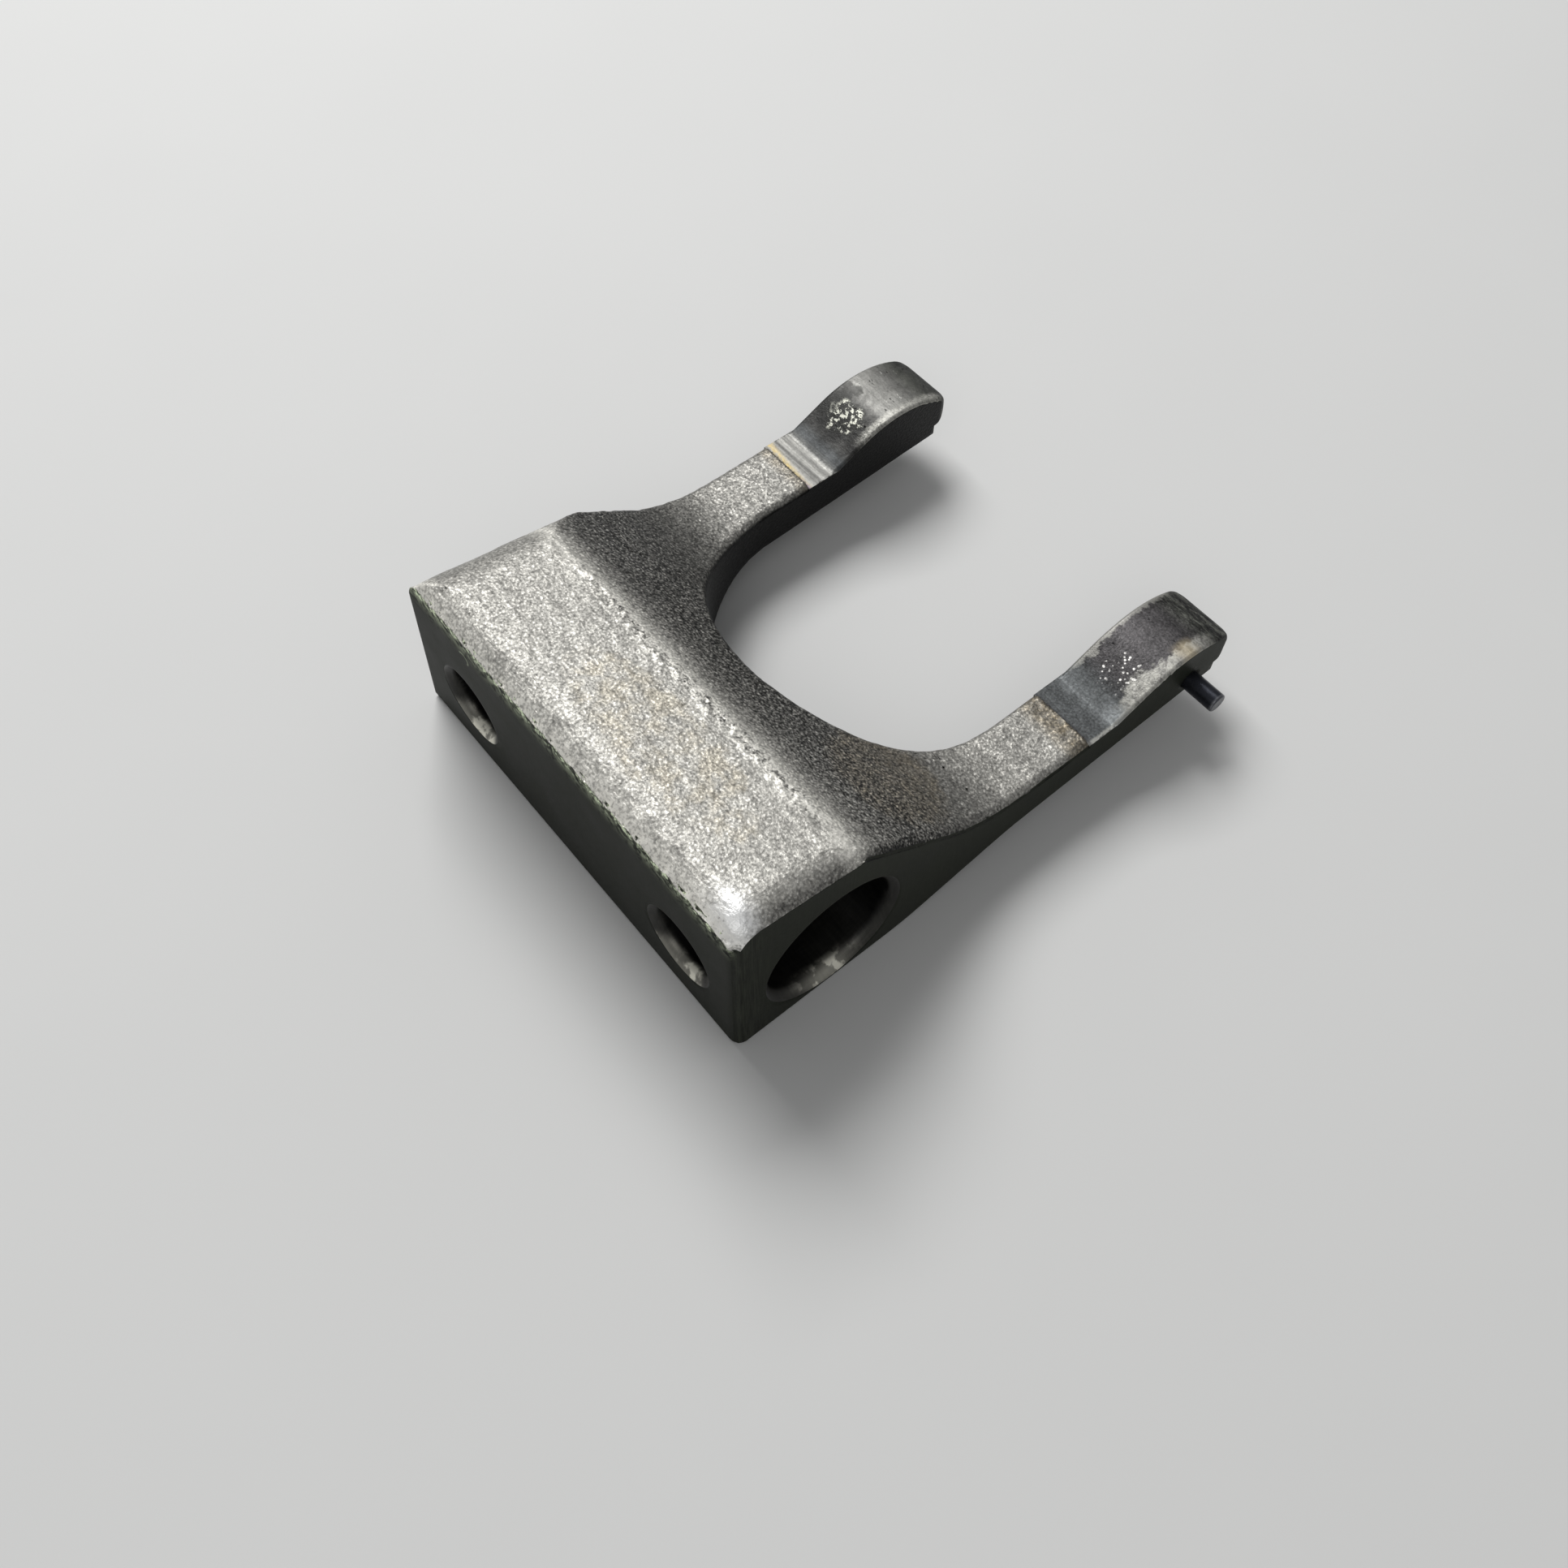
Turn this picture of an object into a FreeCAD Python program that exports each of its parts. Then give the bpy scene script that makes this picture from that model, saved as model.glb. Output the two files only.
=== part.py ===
import FreeCAD, Part
import math
import os
import Sketcher

# Clutch shift fork: a one-piece steel forging with a through shaft bore, and a dowel pin.
# Frame: origin on the shaft bore's axis, midway along the hub. X runs along the bore towards
# the dowel pin, Y runs from the hub towards the prong tips, and Z is up, with the wear pads on top.
# Lengths are millimetres and angles are degrees.

DRIVING_SIZES = [
    # The hub block. Depths are measured forwards from its back face, heights up from its floor.
    ("hub_length", 70.0),
    ("bore_diameter", 20.0),
    ("bore_mouth_diameter", 22.0),
    ("bore_to_back", 15.7),
    ("bore_to_floor", 11.9),
    ("hub_back_height", 32.5),
    ("hub_top_fall", 8.5),
    ("shoulder_depth", 18.9),
    ("shoulder_slope", 36.9),
    ("foot_depth", 28.5),
    # The left side leans inwards, and the hub's upper edge there is a wide round.
    ("end_stock", 4.0),
    ("left_lean", 5.5),
    ("left_round", 9.0),
    ("left_round_reach", 9.85),
    ("left_round_lean", 12.0),
    # The back and the right end are faced flat, which cuts into the forging's rounds.
    ("forging_round", 5.0),
    ("facing_stock", 1.2),
    # The yoke plate and its two prongs.
    ("arm_top_height", 12.5),
    ("arm_root_depth", 47.5),
    ("arm_root_clearance", 4.2),
    ("arm_tip_clearance", 6.5),
    ("slot_width", 48.3),
    ("slot_end_depth", 29.4),
    # The ground band and the wear pad on top of each prong, measured back from the prong's tip.
    ("tip_depth", 90.0),
    ("band_to_tip", 28.8),
    ("band_step", 0.5),
    ("crown_to_tip", 10.6),
    ("crown_rise", 4.3),
    ("crown_radius", 17.4),
    ("ramp_angle", 24.0),
    ("nose_radius", 2.9),
    # The two tapped holes in the back face.
    ("tap_drill_diameter", 10.75),
    ("tap_mouth_diameter", 12.7),
    ("tap_spacing", 46.7),
    # The dowel pin and its blind hole.
    ("pin_diameter", 3.0),
    ("pin_seat_length", 7.5),
    ("pin_proud_length", 5.5),
    ("pin_end_chamfer", 0.3),
    ("pin_to_tip", 8.2),
    ("pin_height", 9.3),
    # Rounded edges and blends.
    ("shoulder_round", 9.0),
    ("yoke_blend_radius", 24.5),
    ("belly_blend_radius", 30.0),
    ("end_edge_round", 1.4),
    ("slot_edge_round", 1.2),
    ("floor_edge_round", 0.7),
    ("pad_edge_round", 0.6),
]

doc = FreeCAD.newDocument("clutch_shift_fork")
sheet = doc.addObject("Spreadsheet::Sheet", "sizes")
for row, (alias, value) in enumerate(DRIVING_SIZES, start=1):
    sheet.set("A%d" % row, alias.replace("_", " "))
    sheet.set("B%d" % row, str(value))
    sheet.setAlias("B%d" % row, alias)
doc.recompute()

# Places that several sketches share, as expressions on the sheet.
BACK = "-sizes.bore_to_back"
FLOOR = "-sizes.bore_to_floor"
HALF_LENGTH = "sizes.hub_length / 2"
SHOULDER_HEIGHT = "(sizes.hub_back_height - sizes.shoulder_depth * tan(sizes.hub_top_fall))"
SHOULDER_RUN = "(" + SHOULDER_HEIGHT + " - sizes.arm_top_height) / tan(sizes.shoulder_slope)"
BAND_HEIGHT = "(sizes.arm_top_height - sizes.band_step)"
NOSE_CENTRE = BACK + " + sizes.tip_depth - sizes.nose_radius"
CROWN_CENTRE = BACK + " + sizes.tip_depth - sizes.crown_to_tip"
CROWN_CENTRE_UP = FLOOR + " + " + BAND_HEIGHT + " + sizes.crown_rise - sizes.crown_radius"
BAND_START = BACK + " + sizes.tip_depth - sizes.band_to_tip"
PIN_ACROSS = BACK + " + sizes.tip_depth - sizes.pin_to_tip"
PIN_UP = FLOOR + " + sizes.pin_height"
BLANK_LENGTH = "sizes.hub_length + 2 * sizes.end_stock"

COINCIDENCE = 1e-4
SURFACE_TOLERANCE = 1e-2
BLEND_ALLOWANCE = 0.8
UPRIGHT = FreeCAD.Vector(0, 0, 1)


def number(expression):
    """The present value of an expression on the sheet."""
    return float(sheet.evalExpression(expression))


def origin_plane(body, role):
    """One of the body's own origin planes, found by its role."""
    return next(plane for plane in body.Origin.OriginFeatures if plane.Role == role)


def new_body(name):
    """An empty body that carries the piece's name."""
    body = doc.addObject("PartDesign::Body", name)
    body.Label = name
    return body


def new_sketch(body, name, role):
    """A sketch on one of the body's origin planes."""
    sketch = body.newObject("Sketcher::SketchObject", name)
    sketch.AttachmentSupport = [(origin_plane(body, role), "")]
    sketch.MapMode = "FlatFace"
    return sketch


def bind(sketch, name, expression, *constraint):
    """Add a named constraint whose value follows an expression on the sheet."""
    value = number(expression)
    if constraint[0] == "Angle":
        value = math.radians(value)
    index = sketch.addConstraint(Sketcher.Constraint(*constraint, value))
    sketch.renameConstraint(index, name)
    unit = " * 1 deg" if constraint[0] == "Angle" else ""
    sketch.setExpression("Constraints." + name, "(" + expression + ")" + unit)


def fix_point(sketch, name, curve, end, across, up):
    """Place one end of a curve by two distances from the sketch's origin."""
    bind(sketch, name + "_across", across, "DistanceX", -1, 1, curve, end)
    bind(sketch, name + "_up", up, "DistanceY", -1, 1, curve, end)


def closed_outline(sketch, corners):
    """Join named corners, each given by two expressions, with straight lines."""
    points = [FreeCAD.Vector(number(across), number(up), 0) for _, across, up in corners]
    for first, second in zip(points, points[1:] + points[:1]):
        sketch.addGeometry(Part.LineSegment(first, second))
    count = len(corners)
    for line in range(count):
        sketch.addConstraint(Sketcher.Constraint("Coincident", line, 2, (line + 1) % count, 1))
    for line, (name, across, up) in enumerate(corners):
        fix_point(sketch, name, line, 1, across, up)


def round_hole(sketch, name, across, up, diameter):
    """Draw a circle whose centre and diameter follow expressions on the sheet."""
    centre = FreeCAD.Vector(number(across), number(up), 0)
    circle = sketch.addGeometry(Part.Circle(centre, UPRIGHT, number(diameter) / 2))
    fix_point(sketch, name, circle, 3, across, up)
    bind(sketch, name + "_diameter", diameter, "Diameter", circle)


def pad_both_ways(body, name, sketch, width):
    """Extrude a sketch evenly to both sides of its plane."""
    pad = body.newObject("PartDesign::Pad", name)
    pad.Profile = sketch
    pad.SideType = "Symmetric"
    pad.setExpression("Length", width)
    doc.recompute()


def cut_through(body, name, sketch):
    """Cut a sketch right through the body, to both sides of its plane."""
    pocket = body.newObject("PartDesign::Pocket", name)
    pocket.Profile = sketch
    pocket.SideType = "Symmetric"
    pocket.Type = "ThroughAll"
    doc.recompute()
    return pocket


def round_edges(body, name, edges, radius):
    """Round the given edges of the body's last feature."""
    base = body.Tip
    rounding = body.newObject("PartDesign::Fillet", name)
    rounding.Base = (base, edges)
    rounding.setExpression("Radius", radius)
    doc.recompute()
    return rounding


def edges_where(shape, test):
    """Names of the edges that pass a test."""
    return ["Edge%d" % index for index, edge in enumerate(shape.Edges, start=1) if test(edge)]


def crosswise_edge(shape, depth, height):
    """Names of the straight edges along X that lie at a place of the side view."""
    place_y = number(BACK) + number(depth)
    place_z = number(FLOOR) + number(height)

    def at_place(edge):
        return all(
            abs(vertex.Y - place_y) < COINCIDENCE and abs(vertex.Z - place_z) < COINCIDENCE
            for vertex in edge.Vertexes
        )

    return edges_where(shape, at_place)


fork = new_body("fork_yoke")

# The side view of the forging, from the hub's floor round to its back face.
side_view = new_sketch(fork, "side_view", "YZ_Plane")
closed_outline(side_view, [
    ("heel", BACK, FLOOR),
    ("foot", BACK + " + sizes.foot_depth", FLOOR),
    ("arm_root", BACK + " + sizes.arm_root_depth", FLOOR + " + sizes.arm_root_clearance"),
    ("arm_tip", NOSE_CENTRE, FLOOR + " + sizes.arm_tip_clearance"),
    ("tip_top", NOSE_CENTRE, FLOOR + " + sizes.arm_top_height"),
    ("slope_foot", BACK + " + sizes.shoulder_depth + " + SHOULDER_RUN, FLOOR + " + sizes.arm_top_height"),
    ("shoulder", BACK + " + sizes.shoulder_depth", FLOOR + " + " + SHOULDER_HEIGHT),
    ("back_top", BACK, FLOOR + " + sizes.hub_back_height"),
])
doc.recompute()
pad_both_ways(fork, "forged_blank", side_view, BLANK_LENGTH)

# The forging's long curves across its whole width.
edge = crosswise_edge(fork.Tip.Shape, "sizes.shoulder_depth", SHOULDER_HEIGHT)
round_edges(fork, "shoulder_round", edge, "sizes.shoulder_round")
edge = crosswise_edge(fork.Tip.Shape, "sizes.shoulder_depth + " + SHOULDER_RUN, "sizes.arm_top_height")
round_edges(fork, "yoke_blend", edge, "sizes.yoke_blend_radius")
edge = crosswise_edge(fork.Tip.Shape, "sizes.foot_depth", "0")
edge = edge + crosswise_edge(fork.Tip.Shape, "sizes.arm_root_depth", "sizes.arm_root_clearance")
round_edges(fork, "belly_blend", edge, "sizes.belly_blend_radius")

# The U of the yoke, open at the prong tips.
plan_view = new_sketch(fork, "slot_view", "XY_Plane")
half_slot = number("sizes.slot_width / 2")
slot_end_y = number(BACK + " + sizes.slot_end_depth")
slot_centre_y = slot_end_y + half_slot
open_y = number(BACK + " + sizes.tip_depth + sizes.nose_radius")
slot_circle = Part.Circle(FreeCAD.Vector(0, slot_centre_y, 0), UPRIGHT, half_slot)
slot_round = plan_view.addGeometry(Part.ArcOfCircle(slot_circle, math.pi, 2 * math.pi))
right_wall = plan_view.addGeometry(Part.LineSegment(
    FreeCAD.Vector(half_slot, slot_centre_y, 0), FreeCAD.Vector(half_slot, open_y, 0)))
mouth = plan_view.addGeometry(Part.LineSegment(
    FreeCAD.Vector(half_slot, open_y, 0), FreeCAD.Vector(-half_slot, open_y, 0)))
left_wall = plan_view.addGeometry(Part.LineSegment(
    FreeCAD.Vector(-half_slot, open_y, 0), FreeCAD.Vector(-half_slot, slot_centre_y, 0)))
plan_view.addConstraint([
    Sketcher.Constraint("Tangent", slot_round, 2, right_wall, 1),
    Sketcher.Constraint("Coincident", right_wall, 2, mouth, 1),
    Sketcher.Constraint("Coincident", mouth, 2, left_wall, 1),
    Sketcher.Constraint("Tangent", left_wall, 2, slot_round, 1),
    Sketcher.Constraint("Vertical", right_wall),
    Sketcher.Constraint("Vertical", left_wall),
    Sketcher.Constraint("Horizontal", mouth),
    Sketcher.Constraint("PointOnObject", slot_round, 3, -2),
])
bind(plan_view, "slot_radius", "sizes.slot_width / 2", "Radius", slot_round)
bind(plan_view, "slot_centre", BACK + " + sizes.slot_end_depth + sizes.slot_width / 2",
     "DistanceY", -1, 1, slot_round, 3)
bind(plan_view, "slot_mouth", BACK + " + sizes.tip_depth + sizes.nose_radius",
     "DistanceY", -1, 1, mouth, 1)
doc.recompute()
cut_through(fork, "yoke_slot", plan_view)


def left_side(height):
    """The leaning left side's place along X at a height: half the hub's length at the ground bands."""
    above_band = "(" + height + " + sizes.bore_to_floor - " + BAND_HEIGHT + ")"
    return "-" + HALF_LENGTH + " + " + above_band + " * tan(sizes.left_lean)"


def on_slot_wall(point):
    """True for a point on the wall of the yoke's U."""
    if point.y < slot_centre_y:
        return abs(math.hypot(point.x, point.y - slot_centre_y) - half_slot) < SURFACE_TOLERANCE
    return abs(abs(point.x) - half_slot) < SURFACE_TOLERANCE


def on_end_face(point):
    """True for a point on the forging's right end or on its leaning left side."""
    side_x = number(HALF_LENGTH) if point.x > 0 else number(left_side(repr(point.z)))
    return abs(point.x - side_x) < SURFACE_TOLERANCE


def on_back_face(point):
    """True for a point on the hub's back face."""
    return abs(point.y - number(BACK)) < SURFACE_TOLERANCE


def all_along(edge, test):
    """True where five points spread along an edge all pass a test."""
    first, last = edge.FirstParameter, edge.LastParameter
    return all(test(edge.valueAt(first + (last - first) * share / 4)) for share in range(5))


def is_upper(edge):
    """True for an edge on the forging's upper side."""
    return all(
        vertex.Z > number(FLOOR + " + sizes.arm_top_height") - SURFACE_TOLERANCE
        for vertex in edge.Vertexes
    )


def is_tip(edge):
    """True for an edge that lies in the square end of a prong."""
    return all(abs(vertex.Y - number(NOSE_CENTRE)) < SURFACE_TOLERANCE for vertex in edge.Vertexes)


def is_end_outline(edge):
    """True for the sides' upper outline, from the hub's back to the prong tip."""
    return is_upper(edge) and all_along(edge, on_end_face) and not is_tip(edge)


def is_slot_rim(edge):
    """True for the U's edge round the yoke's top."""
    return all_along(edge, on_slot_wall) and is_upper(edge) and not is_tip(edge)


def underside_height(depth_y):
    """Height of the forging's underside at a place along Y, its blends left out."""
    foot_y = number(BACK + " + sizes.foot_depth")
    root_y = number(BACK + " + sizes.arm_root_depth")
    tip_y = number(NOSE_CENTRE)
    floor_z = number(FLOOR)
    root_z = number(FLOOR + " + sizes.arm_root_clearance")
    tip_z = number(FLOOR + " + sizes.arm_tip_clearance")
    if depth_y < foot_y:
        return floor_z
    if depth_y < root_y:
        return floor_z + (root_z - floor_z) * (depth_y - foot_y) / (root_y - foot_y)
    return root_z + (tip_z - root_z) * (depth_y - root_y) / (tip_y - root_y)


def is_underneath(point):
    """True for a point on the underside, allowing for its shallow blends."""
    return abs(point.z - underside_height(point.y)) < BLEND_ALLOWANCE


def is_floor_edge(edge):
    """True for the outer lower edges: along both end faces and along the hub's back."""
    if is_tip(edge) or not all_along(edge, is_underneath):
        return False
    return all_along(edge, on_end_face) or all_along(edge, on_back_face)


def is_lower_slot_rim(edge):
    """True for the U's edge round the underside."""
    return all_along(edge, on_slot_wall) and all_along(edge, is_underneath) and not is_tip(edge)


def round_where(name, test, radius):
    """Round every edge of the fork's last feature that passes a test."""
    return round_edges(fork, name, edges_where(fork.Tip.Shape, test), radius)


round_where("slot_rim", is_slot_rim, "sizes.slot_edge_round")
round_where("lower_slot_rim", is_lower_slot_rim, "sizes.floor_edge_round")

# The left side leans inwards from the floor up, and the right end is faced square.
lean_view = new_sketch(fork, "lean_view", "XZ_Plane")
closed_outline(lean_view, [
    ("lean_low", left_side("-sizes.hub_back_height"), "-sizes.hub_back_height"),
    ("lean_high", left_side("sizes.hub_back_height"), "sizes.hub_back_height"),
    ("outer_high", "-sizes.hub_length", "sizes.hub_back_height"),
    ("outer_low", "-sizes.hub_length", "-sizes.hub_back_height"),
])
doc.recompute()
cut_through(fork, "left_lean", lean_view)
facing_view = new_sketch(fork, "facing_view", "XZ_Plane")
closed_outline(facing_view, [
    ("face_low", HALF_LENGTH, "-sizes.hub_back_height"),
    ("outer_low", "sizes.hub_length", "-sizes.hub_back_height"),
    ("outer_high", "sizes.hub_length", "sizes.hub_back_height"),
    ("face_high", HALF_LENGTH, "sizes.hub_back_height"),
])
doc.recompute()
cut_through(fork, "right_facing", facing_view)
round_where("end_outlines", is_end_outline, "sizes.end_edge_round")
round_where("floor_edges", is_floor_edge, "sizes.floor_edge_round")

# The wide round along the hub's left upper edge, drawn square to the sloping top. It runs as far as
# the hub does, and leaves the arm alone.
TOP_LEVEL = (
    "((sizes.hub_back_height - sizes.bore_to_floor) * cos(sizes.hub_top_fall)"
    " - sizes.bore_to_back * sin(sizes.hub_top_fall))"
)
round_view = new_sketch(fork, "left_round_view", "XZ_Plane")
round_view.AttachmentOffset = FreeCAD.Placement(
    FreeCAD.Vector(0, 0, 0), FreeCAD.Rotation(FreeCAD.Vector(-1, 0, 0), number("sizes.hub_top_fall")))
round_view.setExpression("AttachmentOffset.Rotation.Angle", "sizes.hub_top_fall * 1 deg")

top_level = number(TOP_LEVEL)
left_round = number("sizes.left_round")
round_x = -number(HALF_LENGTH) + number("sizes.left_round_reach")
round_z = top_level - left_round
lean = math.radians(number("sizes.left_round_lean"))
outer_x = -number("sizes.hub_length")
round_end = FreeCAD.Vector(
    round_x - left_round * math.cos(lean), round_z + left_round * math.sin(lean), 0)
run_out = FreeCAD.Vector(round_end.x - round_end.y * math.tan(lean), 0, 0)
round_circle = Part.Circle(FreeCAD.Vector(round_x, round_z, 0), UPRIGHT, left_round)
above_top = top_level + left_round
crest = round_view.addGeometry(Part.ArcOfCircle(round_circle, math.pi / 2, math.pi - lean))
flank = round_view.addGeometry(Part.LineSegment(round_end, run_out))
low_side = round_view.addGeometry(Part.LineSegment(run_out, FreeCAD.Vector(outer_x, 0, 0)))
outer_side = round_view.addGeometry(Part.LineSegment(
    FreeCAD.Vector(outer_x, 0, 0), FreeCAD.Vector(outer_x, above_top, 0)))
high_side = round_view.addGeometry(Part.LineSegment(
    FreeCAD.Vector(outer_x, above_top, 0), FreeCAD.Vector(round_x, above_top, 0)))
inner_side = round_view.addGeometry(Part.LineSegment(
    FreeCAD.Vector(round_x, above_top, 0), FreeCAD.Vector(round_x, top_level, 0)))
round_view.addConstraint([
    Sketcher.Constraint("Tangent", crest, 2, flank, 1),
    Sketcher.Constraint("Coincident", flank, 2, low_side, 1),
    Sketcher.Constraint("Coincident", low_side, 2, outer_side, 1),
    Sketcher.Constraint("Coincident", outer_side, 2, high_side, 1),
    Sketcher.Constraint("Coincident", high_side, 2, inner_side, 1),
    Sketcher.Constraint("Coincident", inner_side, 2, crest, 1),
    Sketcher.Constraint("Horizontal", low_side),
    Sketcher.Constraint("Vertical", outer_side),
    Sketcher.Constraint("Horizontal", high_side),
    Sketcher.Constraint("Vertical", inner_side),
    Sketcher.Constraint("Vertical", crest, 1, crest, 3),
    Sketcher.Constraint("PointOnObject", flank, 2, -1),
])
bind(round_view, "left_round", "sizes.left_round", "Radius", crest)
fix_point(round_view, "round_centre", crest, 3,
          "-" + HALF_LENGTH + " + sizes.left_round_reach", TOP_LEVEL + " - sizes.left_round")
bind(round_view, "flank_lean", "90 - sizes.left_round_lean", "Angle", -1, 1, flank, 2)
bind(round_view, "outer_side", "-sizes.hub_length", "DistanceX", -1, 1, outer_side, 1)
bind(round_view, "high_side", TOP_LEVEL + " + sizes.left_round", "DistanceY", -1, 1, outer_side, 2)
doc.recompute()
upper_round = fork.newObject("PartDesign::Pocket", "left_upper_round")
upper_round.Profile = round_view
upper_round.SideType = "Symmetric"
upper_round.Type = "Length"
upper_round.setExpression("Length", "2 * sizes.foot_depth")
doc.recompute()

# The rounds along the hub's back and right upper edges are the forging's own. Facing the back and
# the right end cuts into them. A block with the forging's full outline trims the hub to them.
STOCK_BACK = BACK + " - sizes.facing_stock"
STOCK_RIGHT = HALF_LENGTH + " + sizes.facing_stock"
TOP_SPAN = "(2 * sizes.tip_depth + sizes.facing_stock)"
STOCK_TOP = FLOOR + " + sizes.hub_back_height + sizes.facing_stock * tan(sizes.hub_top_fall)"
STOCK_FRONT = STOCK_BACK + " + " + TOP_SPAN
FRONT_TOP = STOCK_TOP + " - " + TOP_SPAN + " * tan(sizes.hub_top_fall)"
outline = new_body("forging_outline")
outline_view = new_sketch(outline, "outline_view", "YZ_Plane")
outline_view.setExpression("AttachmentOffset.Base.z", STOCK_RIGHT)
closed_outline(outline_view, [
    ("low_back", STOCK_BACK, "-sizes.hub_back_height"),
    ("low_front", STOCK_FRONT, "-sizes.hub_back_height"),
    ("top_front", STOCK_FRONT, FRONT_TOP),
    ("top_back", STOCK_BACK, STOCK_TOP),
])
doc.recompute()
outline_block = outline.newObject("PartDesign::Pad", "outline_block")
outline_block.Profile = outline_view
outline_block.Reversed = True
outline_block.setExpression("Length", "2 * sizes.hub_length")
doc.recompute()


def outline_faces(vertex):
    """Which of the outline's top, back and right faces a corner lies on."""
    top_fall = math.radians(number("sizes.hub_top_fall"))
    top_z = number(STOCK_TOP) - (vertex.Y - number(STOCK_BACK)) * math.tan(top_fall)
    return {
        "top": abs(vertex.Z - top_z) < COINCIDENCE,
        "back": abs(vertex.Y - number(STOCK_BACK)) < COINCIDENCE,
        "right": abs(vertex.X - number(STOCK_RIGHT)) < COINCIDENCE,
    }


def is_outline_round(edge):
    """True for the outline's edges that two of its top, back and right faces share."""
    first, last = (outline_faces(vertex) for vertex in edge.Vertexes)
    return sum(first[face] and last[face] for face in first) == 2


round_edges(outline, "outline_rounds", edges_where(outline.Tip.Shape, is_outline_round),
            "sizes.forging_round")
rounding = fork.newObject("PartDesign::Boolean", "hub_rounds")
rounding.Type = "Common"
rounding.addObjects([outline])
doc.recompute()

# Each prong's top is ground below the forged surface, from the band to the tip.
ground_view = new_sketch(fork, "ground_view", "YZ_Plane")
closed_outline(ground_view, [
    ("band_start", BAND_START, FLOOR + " + " + BAND_HEIGHT),
    ("past_tip", BACK + " + sizes.tip_depth", FLOOR + " + " + BAND_HEIGHT),
    ("past_tip_top", BACK + " + sizes.tip_depth", FLOOR + " + sizes.hub_back_height"),
    ("band_start_top", BAND_START, FLOOR + " + sizes.hub_back_height"),
])
doc.recompute()
cut_through(fork, "ground_band", ground_view)

# The wear pad's side view: the band, then a ramp, a crown and a nose, each tangent to the next.
band_y = number(BAND_START)
band_z = number(FLOOR + " + " + BAND_HEIGHT)
crown_y = number(CROWN_CENTRE)
crown_z = number(CROWN_CENTRE_UP)
crown_radius = number("sizes.crown_radius")
nose_y = number(NOSE_CENTRE)
nose_radius = number("sizes.nose_radius")
nose_z = crown_z + math.sqrt((crown_radius - nose_radius) ** 2 - (nose_y - crown_y) ** 2)
ramp_angle = math.radians(number("sizes.ramp_angle"))
ramp_turn = math.pi / 2 + ramp_angle
nose_turn = math.atan2(nose_z - crown_z, nose_y - crown_y)
ramp_top_y = crown_y + crown_radius * math.cos(ramp_turn)
ramp_top_z = crown_z + crown_radius * math.sin(ramp_turn)
ramp_foot_y = ramp_top_y - (ramp_top_z - band_z) / math.tan(ramp_angle)
band_start = FreeCAD.Vector(band_y, band_z, 0)
ramp_foot = FreeCAD.Vector(ramp_foot_y, band_z, 0)
ramp_top = FreeCAD.Vector(ramp_top_y, ramp_top_z, 0)
nose_base = FreeCAD.Vector(nose_y, nose_z - nose_radius, 0)
inner_corner = FreeCAD.Vector(band_y, nose_base.y, 0)
crown_circle = Part.Circle(FreeCAD.Vector(crown_y, crown_z, 0), UPRIGHT, crown_radius)
nose_circle = Part.Circle(FreeCAD.Vector(nose_y, nose_z, 0), UPRIGHT, nose_radius)

pad_view = new_sketch(fork, "pad_view", "YZ_Plane")
pad_view.setExpression("AttachmentOffset.Base.z", HALF_LENGTH)
band = pad_view.addGeometry(Part.LineSegment(band_start, ramp_foot))
ramp = pad_view.addGeometry(Part.LineSegment(ramp_foot, ramp_top))
crown = pad_view.addGeometry(Part.ArcOfCircle(crown_circle, nose_turn, ramp_turn))
nose = pad_view.addGeometry(Part.ArcOfCircle(nose_circle, -math.pi / 2, nose_turn))
core = pad_view.addGeometry(Part.LineSegment(nose_base, inner_corner))
inner_end = pad_view.addGeometry(Part.LineSegment(inner_corner, band_start))
pad_view.addConstraint([
    Sketcher.Constraint("Coincident", band, 2, ramp, 1),
    Sketcher.Constraint("Tangent", ramp, 2, crown, 2),
    Sketcher.Constraint("Tangent", crown, 1, nose, 2),
    Sketcher.Constraint("Coincident", nose, 1, core, 1),
    Sketcher.Constraint("Coincident", core, 2, inner_end, 1),
    Sketcher.Constraint("Coincident", inner_end, 2, band, 1),
    Sketcher.Constraint("Horizontal", band),
    Sketcher.Constraint("Horizontal", core),
    Sketcher.Constraint("Vertical", inner_end),
    Sketcher.Constraint("Vertical", nose, 1, nose, 3),
])
fix_point(pad_view, "band_start", band, 1, BAND_START, FLOOR + " + " + BAND_HEIGHT)
fix_point(pad_view, "crown_centre", crown, 3, CROWN_CENTRE, CROWN_CENTRE_UP)
bind(pad_view, "crown_radius", "sizes.crown_radius", "Radius", crown)
bind(pad_view, "nose_across", NOSE_CENTRE, "DistanceX", -1, 1, nose, 3)
bind(pad_view, "nose_radius", "sizes.nose_radius", "Radius", nose)
bind(pad_view, "ramp_angle", "sizes.ramp_angle", "Angle", ramp)
doc.recompute()
right_pad = fork.newObject("PartDesign::Pad", "right_wear_pad")
right_pad.Profile = pad_view
right_pad.Reversed = True
right_pad.setExpression("Length", "(sizes.hub_length - sizes.slot_width) / 2")
doc.recompute()
both_pads = fork.newObject("PartDesign::Mirrored", "left_wear_pad")
both_pads.Originals = [right_pad]
both_pads.MirrorPlane = (origin_plane(fork, "YZ_Plane"), [""])
fork.Tip = both_pads
doc.recompute()

# The shaft bore, right through the hub, with a chamfer at its right mouth.
bore_view = new_sketch(fork, "bore_view", "YZ_Plane")
round_hole(bore_view, "bore", "0", "0", "sizes.bore_diameter")
bore = cut_through(fork, "shaft_bore", bore_view)
bore_radius = number("sizes.bore_diameter / 2")


def on_bore_wall(point):
    """True for a point on the wall of the shaft bore."""
    return abs(math.hypot(point.y, point.z) - bore_radius) < SURFACE_TOLERANCE


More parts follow.
